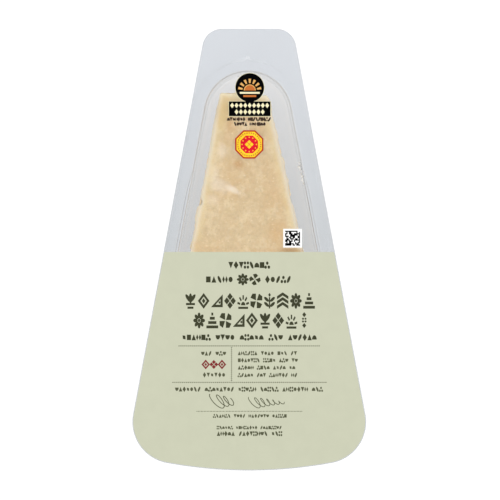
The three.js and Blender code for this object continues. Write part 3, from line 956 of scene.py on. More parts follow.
def place_on_wedge(i, j, k):
    """Points in mm for grid steps i across, j along and k up, with each one's distance from the rind, its distance
    over the surface from the top edge, how far the grain stands out there, and how much it faces sideways."""
    across, along, up, width, point, normal = rounded_block(i, j, k)
    from_rind = 1 - along / CHEESE_LENGTH
    lift = WHEEL_RADIUS - np.sqrt(WHEEL_RADIUS**2 - point[:, 0] ** 2)
    bulge = RIND_BULGE * (1 - (2 * up / CHEESE_THICKNESS - 1) ** 2)
    point[:, 1] += from_rind**3 * lift - from_rind**12 * bulge - (1 - from_rind) ** 12 * TIP_SLANT * point[:, 0]

    share = smoothstep(up, 0, FLOOR_FADE) * np.where(normal[:, 1] < 0, 1 + RIND_SMOOTHING * normal[:, 1], 1.0)
    x, y, z = point.T
    sideways = np.clip(1 - SIDE_FALL * normal[:, 2], 0, 1)
    undercut = UNDERCUT * smoothstep(CHEESE_THICKNESS - up, *UNDERCUT_FROM)
    grains, broken = crumb_relief(x, y, z), sideways * crags(x, y, z)
    rough = relief(x, y, z) + grains + broken - sideways * undercut
    point += normal * (share * rough)[:, None]

    notch_at = np.array([float(cheese_left(NOTCH_Y)), NOTCH_Y, CHEESE_THICKNESS])
    from_notch = np.linalg.norm((point - notch_at) * (1, 1, NOTCH_UPRIGHT), axis=-1) / NOTCH_REACH
    point[:, 0] += NOTCH_DEPTH * np.exp(-(from_notch**2))
    edge = np.minimum(np.minimum(across, width - across), CHEESE_LENGTH - along) + CHEESE_THICKNESS - up
    return point, along, edge, grains + BROKEN_SHADE * broken, sideways


print("the sides fall back by", UNDERCUT, "mm under the cut edge")

# %% [markdown]
# The five faces that show are grids of squares; the flat underside is one face with many corners. Four attributes
# on the mesh let the material colour it without painting: how far each point lies from the rind and from a cut
# edge, how deep or high the grain is there, and how much the face is a broken side.

# %% Cheese mesh
def cheese_faces():
    """Faces over unique grid points, and those points as whole steps across, along and up."""
    nx, ny, nz = CELLS
    quads = []

    def grid(make, count_a, count_b, flip):
        a, b = np.meshgrid(np.arange(count_a), np.arange(count_b), indexing="ij")
        corners = [make(a + da, b + db) for da, db in ((0, 0), (1, 0), (1, 1), (0, 1))]
        quad = np.stack([np.stack(np.broadcast_arrays(*c), axis=-1).reshape(-1, 3) for c in corners], axis=1)
        quads.append(quad[:, ::-1] if flip else quad)

    grid(lambda a, b: (a, b, nz), nx, ny, False)
    grid(lambda a, b: (0, a, b), ny, nz, True)
    grid(lambda a, b: (nx, a, b), ny, nz, False)
    grid(lambda a, b: (a, 0, b), nx, nz, False)
    grid(lambda a, b: (a, ny, b), nx, nz, True)
    corners = np.concatenate(quads).reshape(-1, 3)
    steps, index = np.unique(corners, axis=0, return_inverse=True)
    faces = index.reshape(-1, 4).tolist()
    number = {tuple(s): n for n, s in enumerate(steps[steps[:, 2] == 0].tolist())}
    lowest = np.flatnonzero(steps[:, 2] == 0)
    rim = [(i, 0, 0) for i in range(nx)] + [(nx, j, 0) for j in range(ny)]
    rim += [(i, ny, 0) for i in range(nx, 0, -1)] + [(0, j, 0) for j in range(ny, 0, -1)]
    faces.append([int(lowest[number[r]]) for r in rim][::-1])
    return steps, faces


steps, faces = cheese_faces()
points, from_rind_mm, from_edge_mm, grain_mm, sideways = place_on_wedge(*steps.T)
points[:, 2] += CHEESE_Z
print(len(points), "points,", len(faces), "faces")

# %% [markdown]
# The colour of the paste comes in layers, from large to small: tan clouds, paler crumb, dark grain between the
# crumbs, and white crystals. A few soft spots put the pale streaks and brown patches of this wedge in their
# places. Hollows in the grain get painted shade and raised grains painted light, and the broken sides are paler,
# partly in their own tone and partly as painted light against the shade they lie in. Then the cut edges turn a
# paler tone, lifted or held back by side as painted light and shade, a last few spots lie over them, painted shade
# along the label's edge among them, and the outermost millimetres turn into rind.

# %% Cheese colours
PASTE = srgb(214, 189, 147)
TAN = srgb(214, 181, 133)
PALE = srgb(229, 209, 172)
SHADE = srgb(202, 178, 138)
BROWN = srgb(202, 160, 109)
# painted shade for the paste at the top edge of the sage field
LABEL_EDGE_SHADE_BROWN = srgb(176, 138, 88)
YELLOW = srgb(215, 186, 128)
WHITE_STREAK = srgb(240, 225, 204)
# near white for all crumbs; on the right wall it also stands for glints: painted highlights
CRUMB_AND_GLINT_WHITE = srgb(245, 244, 240)
CRYSTAL = srgb(247, 226, 189)
CUT_EDGE = srgb(228, 209, 162)
# The edge tones differ by side as painted light and shade: lifted on the left and at the tip, which lie in shade,
# held back on the right, where the key lamp falls.
LEFT_EDGE = srgb(231, 219, 196)
RIGHT_EDGE = srgb(224, 212, 192)
TIP_EDGE = srgb(239, 227, 196)
# the broken sides' tone: partly their own, partly painted light against the shade of the tray
BROKEN_TONE_AND_PAINTED_LIGHT = srgb(254, 219, 166)
# painted shade for hollows in the grain; painted light for raised grains, and pale flecks
HOLLOW_SHADE = srgb(194, 167, 129)
RAISED_LIGHT_AND_PALE_FLECK = srgb(238, 214, 174)
NOTCH_SHADE = srgb(135, 114, 87)
UNDER_RIND = srgb(198, 165, 109)
RIND = srgb(226, 186, 122)
RIND_DARK = srgb(194, 148, 88)
RIND_PORE = srgb(134, 94, 50)
print("paste in linear values:", [round(v, 3) for v in PASTE])

# %% [markdown]
# The spots are two tables: those in the paste, and those that lie over the paler edges. Each is centred at the
# height of the top face and reaches some way down, so that it colours the upper part of a side as well.

# %% Spots
SPOT_DEPTH = 12.0
SPOTS = (
    # centre, reach and turn about Z: mm and degrees; colour; strength
    ((-8.5, 38.5), (8.5, 8.0), 0, TAN, 0.45),
    ((-9.2, 57.0), (4.5, 11.0), 0, TAN, 0.6),
    ((-13.2, 64.5), (5.5, 13.0), -10, YELLOW, 0.6),
    ((-4.0, 43.0), (8.0, 6.0), 0, TAN, 0.4),
    ((12.0, 33.0), (9.0, 16.0), 10, TAN, 0.35),
    ((-13.4, 47.6), (3.8, 5.0), 0, WHITE_STREAK, 0.4),
    ((-17.8, 37.0), (4.2, 6.5), 10, WHITE_STREAK, 0.45),
    ((-14.5, 31.0), (9.0, 4.6), -18, WHITE_STREAK, 0.5),
    ((-18.5, 24.3), (6.5, 3.4), 0, WHITE_STREAK, 0.3),
    ((-8.0, 28.8), (5.2, 2.3), -24, WHITE_STREAK, 0.8),
    ((-9.2, 59.4), (2.4, 5.0), 0, BROWN, 0.45),
    ((-5.3, 41.0), (3.2, 2.8), 0, BROWN, 0.85),
    ((14.0, 8.0), (8.0, 10.0), 15, TAN, 1.0),
)
EDGE_SPOTS = (
    ((-13.0, 66.0), (4.0, 11.0), -10, YELLOW, 0.5),
    ((-25.0, 1.0), (3.0, 7.0), 0, TAN, 0.5),
    # These two darken the paste along the top edge of the sage field; the dark one at its right end is painted
    # shade from the label's edge.
    ((8.0, -1.0), (14.0, 2.6), 0, BROWN, 0.3),
    ((20.5, -0.6), (8.0, 2.2), -2, LABEL_EDGE_SHADE_BROWN, 0.85),
    ((-23.3, 22.7), (1.0, 2.0), -15, NOTCH_SHADE, 0.7),
)


def spotted(tree, colour, spots):
    """The colour with soft spots laid over it, one after another."""
    for (x, y), (across, along), turn, spot_colour, strength in spots:
        mask = place_group(
            tree,
            soft_spot,
            Centre=(x * MM, y * MM, (CHEESE_Z + CHEESE_THICKNESS) * MM),
            Reach=(across * MM, along * MM, SPOT_DEPTH * MM),
            Turn=(0, 0, math.radians(turn)),
        )
        colour = layer(tree, colour, spot_colour, mask, strength)
    return colour


print(len(SPOTS) + len(EDGE_SPOTS), "spots")

# %% [markdown]
# Paste, dried edges and rind are three small functions. The paste comes first, in clouds of three sizes, spots,
# crystals and grain.

# %% Paste
PASTE_CLOUDS = (
    # colour, size in mm, detail, the noise at which they start and are full, strength
    (TAN, 19.0, 2.0, 0.42, 0.68, 0.6),
    (PALE, 4.6, 3.0, 0.46, 0.66, 0.6),
    (SHADE, 1.5, 2.0, 0.5, 0.72, 0.6),
)
# hollows in the grain get painted shade, raised grains painted light
GRAIN_SHADE_AND_LIGHT = ((HOLLOW_SHADE, -0.03, -0.4, 0.7), (RAISED_LIGHT_AND_PALE_FLECK, 0.03, 0.3, 0.75))  # from and to these heights, and strength


def paste_colour(tree):
    colour = PASTE
    for tone, size, detail, low, high, strength in PASTE_CLOUDS:
        colour = layer(tree, colour, tone, cloudy(tree, size, detail, low, high), strength)
    colour = spotted(tree, colour, SPOTS)
    colour = layer(tree, colour, CRYSTAL, place_group(tree, crystals, Spacing=2.0, Speck=0.26, Keep=0.56), 0.7)
    colour = layer(tree, colour, RAISED_LIGHT_AND_PALE_FLECK, cloudy(tree, 0.8, 1.0, 0.52, 0.7), 0.18)
    # broken sides paler: partly their own tone, partly painted light against the tray's shade
    colour = layer(tree, colour, BROKEN_TONE_AND_PAINTED_LIGHT, stored(tree, "sideways"), 0.75)
    grains = stored(tree, "grain_mm")
    for tone, start, end, strength in GRAIN_SHADE_AND_LIGHT:
        colour = layer(tree, colour, tone, ramp(tree, grains, start, end), strength)
    return colour


print("paste: clouds of", [cloud[1] for cloud in PASTE_CLOUDS], "mm")

# %% [markdown]
# The other two take the colour so far and lay their own tones over it. A cut edge is palest right at the edge,
# with painted light that lifts the left side and the tip and holds back the right, and the rind is a thin crust
# over a darker band.

# %% Edges and rind
RIGHT_EDGE_X, TIP_EDGE_Y = (-18.0, -8.0), (71.0, 74.0)  # where the tone of the edges changes
EDGE_REACH, DRIED_AND_PAINTED_LIGHT_REACH = 6.5, 3.0
UNDER_RIND_DEPTH, RIND_DEPTH = 7.0, 1.8


def edge_colour(tree, colour):
    from_edge = stored(tree, "from_edge_mm")
    place = own_xyz(tree)
    right = ramp(tree, place["X"], *[v * MM for v in RIGHT_EDGE_X])
    tip = ramp(tree, place["Y"], *[v * MM for v in TIP_EDGE_Y])
    dried_tone_and_painted_light = layer(tree, layer(tree, LEFT_EDGE, RIGHT_EDGE, right), TIP_EDGE, tip)
    for tone, reach, strength in ((CUT_EDGE, EDGE_REACH, 0.65), (dried_tone_and_painted_light, DRIED_AND_PAINTED_LIGHT_REACH, 0.85)):
        colour = layer(tree, colour, tone, ramp(tree, from_edge, reach, 0.1 * reach, "SMOOTHSTEP"), strength)
    return spotted(tree, colour, EDGE_SPOTS)


def rind_colour(tree, colour):
    crust = layer(tree, RIND, RIND_DARK, cloudy(tree, 9.0, 6.0, 0.42, 0.62), 0.7)
    crust = layer(tree, crust, RIND_PORE, place_group(tree, crystals, Spacing=1.7, Speck=0.3, Keep=0.45), 0.55)
    from_rind = stored(tree, "from_rind_mm")
    for tone, depth, strength in ((UNDER_RIND, UNDER_RIND_DEPTH, 0.7), (crust, RIND_DEPTH, 0.95)):
        colour = layer(tree, colour, tone, ramp(tree, from_rind, depth, 0.2 * depth, "SMOOTHSTEP"), strength)
    return colour


print("rind:", RIND_DEPTH, "mm over a band of", UNDER_RIND_DEPTH, "mm")

# %% [markdown]
# The three are joined to a shader that lets a little light soak in, as cheese does, with fine grain as its bump.

# %% Cheese
def cheese_material():
    made, tree, shader = new_material("cheese_paste", {
        "Roughness": 0.62,
        "Specular IOR Level": 0.35,
        "Subsurface Weight": 0.25,
        "Subsurface Scale": 2.5 * MM,
        "Subsurface Radius": (1.0, 0.7, 0.4),
    })
    colour = rind_colour(tree, edge_colour(tree, paste_colour(tree)))
    tree.links.new(colour, shader.inputs["Base Color"])
    tree.links.new(grain_bump(tree, 0.9, 0.2, strength=0.7), shader.inputs["Normal"])
    return made


cheese = make_object("cheese_wedge", points, faces, cheese_material(), sharp=80.0)
for name, values in (
    ("from_rind_mm", from_rind_mm), ("from_edge_mm", from_edge_mm), ("grain_mm", grain_mm), ("sideways", sideways)
):
    cheese.data.attributes.new(name, "FLOAT", "POINT").data.foreach_set("value", values.astype(np.float32))
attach(cheese, "root")
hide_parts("cheese")
print("cheese:", len(cheese.data.polygons), "faces")

# %% [markdown]
# ## Crumbs
# Crumbs have come off the wedge and lie on the tray's floor. The whitish ones along the right wall are partly
# crumbs and partly painted highlights: they stand for the glints of light on the wall there. Each is a small ball
# of triangles pushed out of shape by the same noise, and all are one mesh. A fixed seed keeps them where they are
# on every run. First come their places: a draw that lands on the wedge or the wall is left out.

# %% Crumb places
FLOOR_CRUMBS = 8
# whitish crumbs on the right wall, partly crumbs and partly painted highlights for the wall's glints
WALL_CRUMBS_AND_GLINTS = 24
crumb_random = np.random.default_rng(11)


def floor_height(x, y):
    """Height of the tray's floor, in mm, or None too near its wall for a crumb to lie."""
    inset = (float(half_width_at(y, **WELL)) - abs(x)) * math.cos(TAPER)
    if inset < floor_inset:
        return None
    if inset < panel_foot:
        return SHEET
    return SHEET + PANEL_RISE * min(1.0, (inset - panel_foot) / PANEL_SLOPE)


def crumb_places():
    places = []
    while len(places) < FLOOR_CRUMBS:
        y = crumb_random.uniform(-90, 0)
        x = crumb_random.uniform(-45, 45)
        if y < TIP_Y + 1 and float(cheese_left(y)) - 1.0 < x < float(cheese_right(y)) + 1.0:
            continue
        size = crumb_random.uniform(0.2, 0.42)
        z = floor_height(x, y) if abs(x) < half_width_at(y, **WELL) else None
        if z is not None:
            places.append((x, y, z + 0.6 * size, size))
    for _ in range(WALL_CRUMBS_AND_GLINTS):
        y = crumb_random.uniform(31.5, 42.5)
        size = crumb_random.uniform(0.25, 0.8)
        x = WELL_SHIFT + float(half_width_at(y, **WELL)) - size * crumb_random.uniform(0.7, 1.6)
        places.append((x, y, LEDGE_Z - crumb_random.uniform(0.3, 2.5), size))
    return places


print("the floor is", round(floor_height(0, 0), 2), "mm up in the middle")

# %% [markdown]
# The ball that each crumb starts from is made once. It is pushed out of round, squashed a little differently each
# time and set in its place.

# %% Crumbs
CRUMB_LUMPS, LUMP_SIZE = 0.45, 0.8  # how far a crumb is pushed out of round, and how wide its lumps are


def ball_of_triangles():
    ball = bmesh.new()
    bmesh.ops.create_icosphere(ball, subdivisions=2, radius=1.0)
    verts = np.array([v.co[:] for v in ball.verts])
    triangles = np.array([[v.index for v in f.verts] for f in ball.faces])
    ball.free()
    return verts, triangles


ball_points, ball_faces = ball_of_triangles()
crumb_points, crumb_faces = [], []
for n, (x, y, z, size) in enumerate(crumb_places()):
    lumpy = 1 + CRUMB_LUMPS * noise(ball_points[:, 0] + 5 * n, ball_points[:, 1], ball_points[:, 2], LUMP_SIZE)
    squash = crumb_random.uniform(0.6, 1.0, 3)
    crumb_points.append(ball_points * lumpy[:, None] * squash * size + (x, y, z))
    crumb_faces.append(ball_faces + n * len(ball_points))
crumb_and_glint_paste, crumb_tree, crumb_shader = new_material("crumb_and_glint_paste", {"Roughness": 0.6})
crumb_cloud = cloudy(crumb_tree, 1.5, 2.0, 0.4, 0.7)
crumb_tree.links.new(layer(crumb_tree, CRUMB_AND_GLINT_WHITE, PALE, crumb_cloud, 0.15), crumb_shader.inputs["Base Color"])
crumbs = make_object("cheese_crumbs_and_glints", np.concatenate(crumb_points), np.concatenate(crumb_faces), crumb_and_glint_paste)
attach(crumbs, "root")
print("crumbs:", FLOOR_CRUMBS + WALL_CRUMBS_AND_GLINTS)

# %% [markdown]
# ## Print
# The lower part of the film carries a sage field with dark print, and the clear part has a plaque, a badge and a
# code patch. Ink is a real layer here: every mark is a flat shape cut to its outline and given a little
# thickness, and it follows the waves of the film. That keeps its edges sharp at any distance, which painted
# pixels would not.
#
# A flat shape is a pair of points and faces. A few helpers make, move and join them.

# %% Flat shapes
def polygon(points):
    return np.asarray(points, float), [tuple(range(len(points)))]


def band(points, inner):
    """The strip between a closed loop and the same loop at a smaller size."""
    outer = np.asarray(points, float)
    n = len(outer)
    faces = [(i, (i + 1) % n, n + (i + 1) % n, n + i) for i in range(n)]
    return np.concatenate([outer, outer * inner]), faces


def round_loop(sides, radius, turn=0.0):
    a = math.radians(turn) + np.arange(sides) * 2 * math.pi / sides
    return np.c_[radius * np.cos(a), radius * np.sin(a)]


def box_loop(width, height, x=0.0, y=0.0):
    w, h = width / 2, height / 2
    return np.array([(x - w, y - h), (x + w, y - h), (x + w, y + h), (x - w, y + h)])


def moved(shape, x=0.0, y=0.0, size=1.0, turn=0.0, widen=1.0):
    points, faces = shape
    a = math.radians(turn)
    spin = np.array([[math.cos(a), math.sin(a)], [-math.sin(a), math.cos(a)]])
    return (points * (widen, 1.0) * size) @ spin + (x, y), faces


def together(shapes):
    points, faces, count = [], [], 0
    for some_points, some_faces in shapes:
        points.append(some_points)
        faces += [tuple(i + count for i in f) for f in some_faces]
        count += len(some_points)
    return np.concatenate(points), faces


def ribbon(path, width):
    """A line of even width along a run of points."""
    path = np.asarray(path, float)
    ahead = np.gradient(path, axis=0)
    ahead /= np.linalg.norm(ahead, axis=1, keepdims=True)
    side = np.c_[-ahead[:, 1], ahead[:, 0]] * width / 2
    n = len(path)
    return np.concatenate([path - side, path + side]), [(i, i + 1, n + i + 1, n + i) for i in range(n - 1)]


print("a band between two squares has", len(band(box_loop(1, 1), 0.5)[1]), "faces")

# %% [markdown]
# Ink colours are never quite even: the material shifts a little between two tones, and its shine is broken by a
# fine grain, as on printed film. One function makes every ink. Light soaks through so thin a layer and spreads in
# the film, so an ink is solid only to the camera's own rays: otherwise every mark would throw a hard dark rim on
# the cheese just below it.

# %% Inks
INK_THICKNESS = 0.02


def ink(name, colour, roughness=0.42, unevenness=0.05, gloss=0.1):
    made, tree, shader = new_material(name, {"IOR": 1.45, "Specular IOR Level": gloss})
    cloud = cloudy(tree, 6.0, 3.0, 0.3, 0.7)
    two_tones = layer(tree, toned(colour, 1 - unevenness), toned(colour, 1 + unevenness), cloud)
    tree.links.new(two_tones, shader.inputs["Base Color"])
    tree.links.new(between(tree, cloud, roughness * 0.9, roughness * 1.15), shader.inputs["Roughness"])
    tree.links.new(grain_bump(tree, 0.35, 0.01, strength=0.25), shader.inputs["Normal"])
    seen = node(tree, "LightPath").outputs["Is Camera Ray"]
    thin = node(tree, "BsdfTransparent")
    mixed = node(tree, "MixShader", {0: seen, 1: thin.outputs[0], 2: shader.outputs[0]})
    tree.links.new(mixed.outputs[0], tree.nodes["Material Output"].inputs["Surface"])
    return made


sage_ink = ink("sage_ink", srgb(196, 198, 175), roughness=0.5, unevenness=0.012)
olive_ink = ink("olive_ink", srgb(60, 62, 43))
soft_olive_ink = ink("soft_olive_ink", srgb(86, 88, 66))
maroon_ink = ink("maroon_ink", srgb(126, 46, 46))
umber_ink = ink("umber_ink", srgb(62, 48, 38))
black_ink = ink("black_ink", srgb(3, 3, 4), gloss=0.02)
amber_ink = ink("amber_ink", srgb(196, 112, 52))
gold_ink = ink("gold_ink", srgb(222, 170, 98))
cream_ink = ink("cream_ink", srgb(238, 230, 190))
yellow_ink = ink("yellow_ink", srgb(247, 206, 44))
red_ink = ink("red_ink", srgb(218, 22, 44))
deep_red_ink = ink("deep_red_ink", srgb(178, 30, 30))
white_ink = ink("white_ink", srgb(247, 247, 246), unevenness=0.015)
print("inks:", [m.name for m in bpy.data.materials if m.name.endswith("ink")])

# %% [markdown]
# Print lies on print, so each layer of ink has its own lift above the film: the field and the grounds first, the
# marks on them next, and two more for what lies over those.

# %% Printed pieces
LIFT_STEP = 0.03
FIELD_LIFT = LIFT_STEP
MARK_LIFT = FIELD_LIFT + LIFT_STEP
OVER_LIFT = MARK_LIFT + LIFT_STEP
TOP_LIFT = OVER_LIFT + LIFT_STEP


def printed(name, shape, material, lift=MARK_LIFT):
    """One object from a flat shape: a top, an underside and walls along every open edge."""
    points, faces = shape
    top = film_height(points[:, 0], points[:, 1]) + lift
    count = len(points)
    directed = {(f[i], f[(i + 1) % len(f)]) for f in faces for i in range(len(f))}
    walls = [(b, a, a + count, b + count) for a, b in directed if (b, a) not in directed]
    under = [tuple(i + count for i in f[::-1]) for f in faces]
    solid = np.concatenate([np.c_[points, top], np.c_[points, top - INK_THICKNESS]])
    made = make_object(name, solid, list(faces) + under + sorted(walls), material, sharp=30.0)
    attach(made, "root")
    return made


print("ink lies up to", round(TOP_LIFT, 2), "mm above the film")

# %% [markdown]
# The sage field covers the wide half of the film, up to a straight edge. It is a sheet like the film, a little
# smaller, so the clear film shows as a thin rim round it.

# %% Sage field
FIELD_TOP_Y = -1.1
FIELD_INSET = 0.4
FIELD_ROWS = 100
field_end = PACK_LENGTH / 2 - FIELD_INSET
field_grid = sheet_points(FLANGE, FIELD_INSET, -field_end + END_GAP, FIELD_TOP_Y, FIELD_ROWS, SHEET_COLUMNS)
field = sheet_object("sage_field", field_grid, sage_ink, INK_THICKNESS, FIELD_LIFT)
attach(field, "root")
print("sage field:", len(field.data.polygons), "faces")

# %% [markdown]
# The print is all ornament, with no lettering. Small rows are runs of plain marks: lozenges, dots, squares,
# triangles, leaves. Each mark is drawn one unit high and is placed at its real size later. Drawn in short groups
# with gaps between them, they give the rows the even grey of fine print.

# %% Small marks
def lozenge(width=0.78):
    return moved(polygon(round_loop(4, 0.5, 90)), widen=width)


def dot(size=0.68):
    return polygon(round_loop(12, size / 2))


def square(size=0.74):
    return polygon(box_loop(size, size))


def triangle(turn=0.0):
    return moved(polygon([(-0.4, -0.4), (0.4, -0.4), (0.0, 0.42)]), turn=turn)


def leaf(turn, length=1.0, width=0.42):
    t = np.linspace(0, math.pi, 8)
    half = np.c_[-np.cos(t) * length / 2, -np.sin(t) * width / 2]
    return moved(polygon(np.concatenate([half, -half[1:-1]])), turn=turn)


def half_disc(turn=0.0):
    t = np.linspace(0, math.pi, 10)
    return moved(polygon(np.c_[0.42 * np.cos(t), 0.6 * np.sin(t) - 0.3]), turn=turn)


def four_dots():
    return together([moved(dot(0.4), x, y) for x in (-0.24, 0.24) for y in (-0.26, 0.26)])


def three_dots():
    return together([moved(dot(0.42), x, y) for x, y in ((-0.26, -0.26), (0.26, -0.26), (0.0, 0.24))])


def two_lozenges():
    return together([moved(lozenge(0.5), x, 0, 0.86) for x in (-0.24, 0.24)])


SMALL_MARKS = [
    lozenge(), dot(), leaf(60), square(), triangle(), two_lozenges(), four_dots(), leaf(-60), half_disc(),
    moved(lozenge(), turn=45, size=0.8), triangle(180), half_disc(180), three_dots(),
]
print(len(SMALL_MARKS), "small marks")

# %% [markdown]
# A row of marks fills the space between two places along the film. A seeded draw picks the marks and the length
# of each group, so a row is the same on every run.

# %% Rows of marks
MARK_GROWTH, MARK_WIDTH = 1.13, 0.77  # marks fill a row's height, and are narrower than they are tall
SMALL_PRINT = {"size": 0.38, "pitch": 0.7}
mark_random = np.random.default_rng(5)


def row_of_marks(left, right, y, height, pitch=0.76, groups=(3, 9), weight=1.0):
    """Marks in a row from left to right, all in mm. groups: the least and most marks between two gaps."""
    count = max(2, round((right - left) / (height * pitch)))
    places = np.linspace(left + height * 0.4, right - height * 0.4, count)
    shapes, run, last = [], int(mark_random.integers(*groups)), -1
    for n, x in enumerate(places):
        if run == 0 and count - n > 2:
            run = int(mark_random.integers(*groups))
            continue
        pick = int(mark_random.integers(len(SMALL_MARKS)))
        pick = (pick + 1) % len(SMALL_MARKS) if pick == last else pick
        last, run = pick, run - 1
        shapes.append(moved(SMALL_MARKS[pick], x, y, height * MARK_GROWTH * weight, widen=MARK_WIDTH))
    return together(shapes)


def dotted_rule(start, end, size=0.5, pitch=0.92):
    start, end = np.array(start), np.array(end)
    count = int(np.linalg.norm(end - start) / pitch) + 1
    return together([moved(square(size), *(start + (end - start) * t)) for t in np.linspace(0, 1, count)])


ROWS = (
    # left, right, middle height, mark height
    (-10.2, 10.0, -7.4, 3.4),
    (-21.0, -7.6, -14.3, 3.4),
    (7.4, 20.3, -14.3, 3.4),
    (-32.5, 32.5, -42.1, 3.1),
)
FINE_ROWS = (
    (-23.2, -11.0, -49.8, 2.3),
    (-22.4, -11.4, -60.1, 2.3),
    (-5.6, 23.0, -49.7, 2.1),
    (-5.6, 23.4, -53.1, 2.1),
    (-5.6, 22.2, -56.6, 2.1),
    (-5.6, 23.2, -60.2, 2.1),
    (-35.7, 35.4, -67.0, 2.4),
    (-17.5, 18.1, -79.8, 1.9),
    (-15.7, 15.7, -85.4, 1.8),
    (-15.7, 15.9, -88.3, 2.4),
)
RULES = (
    ((-33.7, -46.2), (33.5, -46.2)),
    ((-8.5, -47.0), (-8.5, -62.8)),
    ((-36.6, -63.7), (36.8, -63.7)),
)
rows = printed("olive_rows", together([row_of_marks(*r) for r in ROWS]), olive_ink)
fine = printed("fine_rows", together([row_of_marks(*r, pitch=0.74) for r in FINE_ROWS]), soft_olive_ink)
rules = printed("dotted_rules", together([dotted_rule(*r) for r in RULES]), soft_olive_ink)
printed("thin_rule", dotted_rule((-25.1, -77.6), (25.2, -77.6), **SMALL_PRINT), soft_olive_ink)
print("faces in rows:", [len(o.data.polygons) for o in (rows, fine, rules)])

# %% [markdown]
# The two large lines are friezes of bold ornaments: rosettes, sheaves, wedges of cheese, stacked diamonds and the
# like. Each is one unit high, with strokes about a seventh of that, which gives the weight of heavy print.

# %% Bold ornaments
def lozenge_ring():
    loop = round_loop(4, 0.5, 90) * (0.86, 1.0)
    return together([band(loop, 0.54), moved(lozenge(), size=0.34)])


def rosette():
    petals = [
        moved(leaf(0, 0.38, 0.24), 0.31 * math.cos(a), 0.31 * math.sin(a), turn=math.degrees(a))
        for a in np.arange(8) * math.pi / 4
    ]
    return together(petals + [dot(0.22)])


def sheaf():
    blades = [moved(leaf(90 + a, 0.64, 0.24), -0.26 * math.sin(math.radians(a)), 0.16) for a in (-38, 0, 38)]
    return together(blades + [polygon(box_loop(0.66, 0.14, 0, -0.2)), polygon(box_loop(0.44, 0.14, 0, -0.43))])


def wedge_slice():
    outer = np.array([(-0.5, -0.4), (0.5, -0.4), (0.5, 0.42)])
    centre = outer.mean(axis=0)
    points, faces = band(outer - centre, 0.42)
    return together([(points + centre, faces), moved(dot(0.16), 0.22, -0.1)])


def stacked_diamonds():
    return together([moved(lozenge(1.0), x, y, 0.47) for x, y in ((0, 0.27), (0, -0.27), (-0.27, 0), (0.27, 0))])


print("a wedge of cheese has", len(wedge_slice()[1]), "faces")

# %% [markdown]
# The other ornaments are built the same way, from turned and repeated parts.

# %% More ornaments
def chevrons():
    fold = np.array([(-0.42, -0.16), (0.0, 0.08), (0.42, -0.16), (0.42, 0.04), (0.0, 0.28), (-0.42, 0.04)])
    return together([moved(polygon(fold), 0, y) for y in (-0.34, -0.04, 0.26)])


def pinwheel():
    sail = polygon([(0.03, 0.03), (0.46, 0.03), (0.46, 0.3), (0.2, 0.46)])
    return together([moved(sail, turn=a) for a in (0, 90, 180, 270)])


def stepped_mound():
    courses = ((0.86, -0.4), (0.6, -0.13), (0.36, 0.14), (0.14, 0.4))
    return together([polygon(box_loop(width, 0.18, 0, y)) for width, y in courses])


def sprig():
    pairs = [moved(leaf(side * 40, 0.44, 0.2), side * 0.22, y) for y in (-0.22, 0.1) for side in (-1, 1)]
    return together(pairs + [polygon(box_loop(0.1, 0.72, 0, -0.12)), moved(lozenge(), 0, 0.38, 0.26)])


def sunrise():
    t = np.linspace(0, math.pi, 12)
    half = polygon(np.c_[0.22 * np.cos(t), 0.22 * np.sin(t) - 0.28])
    beams = [
        moved(polygon(box_loop(0.28, 0.14)), 0.44 * math.cos(a), 0.5 * math.sin(a) - 0.28, turn=math.degrees(a))
        for a in np.linspace(math.radians(14), math.radians(166), 5)
    ]
    return together([half, polygon(box_loop(0.96, 0.14, 0, -0.44))] + beams)


print("a rosette has", len(rosette()[1]), "faces")

# %% [markdown]
# A frieze sets ornaments side by side and narrows each to its place. The upper one has ten of them and the lower
# one eight, and a rosette and a pinwheel stand between the two rows of small marks above them.

# %% Friezes
FRIEZE_A = (
    sheaf, lozenge_ring, wedge_slice, stacked_diamonds, sunrise, pinwheel, sprig, chevrons, rosette, stepped_mound
)
FRIEZE_B = (rosette, stepped_mound, pinwheel, wedge_slice, lozenge_ring, sheaf, stacked_diamonds, sunrise)
SIDE_MARKS = ((lozenge, -31.2), (four_dots, -33.8), (lozenge, -36.4))  # each with its y
MAROON_MARKS = ((lozenge_ring, -20.9, 4.7), (stacked_diamonds, -17.0, 4.3), (lozenge_ring, -13.1, 4.7))  # x, size
END_ROOM = 0.42  # from a frieze's end to the middle of its first ornament, as a share of the height
FILLED, WIDEST = 0.9, 0.86  # the share of its place that an ornament fills, and the most that it keeps of its width


def frieze(ornaments, left, right, y, height):
    """Ornaments in a row, each made narrow enough for its place."""
    places = np.linspace(left + height * END_ROOM, right - height * END_ROOM, len(ornaments))
    room = FILLED * (places[1] - places[0]) / height
    shapes = []
    for make, x in zip(ornaments, places):
        shape = make()
        shapes.append(moved(shape, x, y, height, widen=min(WIDEST, room / np.ptp(shape[0][:, 0]))))
    return together(shapes)


friezes = printed(
    "bold_friezes",
    together([
        frieze(FRIEZE_A, -31.4, 31.9, -24.6, 7.6),
        frieze(FRIEZE_B, -27.3, 23.5, -34.0, 7.7),
        moved(rosette(), -3.1, -14.3, 5.8),
        moved(pinwheel(), 2.7, -14.3, 5.2, turn=45),
    ]),
    olive_ink,
)
printed("side_marks", together([moved(make(), 26.4, y, 2.5) for make, y in SIDE_MARKS]), olive_ink)
printed("maroon_marks", together([moved(make(), x, -55.1, size) for make, x, size in MAROON_MARKS]), maroon_ink)
print("friezes:", len(friezes.data.polygons), "faces")

# %% [markdown]
# Above the thin dotted rule runs a pen flourish, a row of loops that die away. It is a ribbon along a rolling
# curve, the path of a point on a turning wheel.

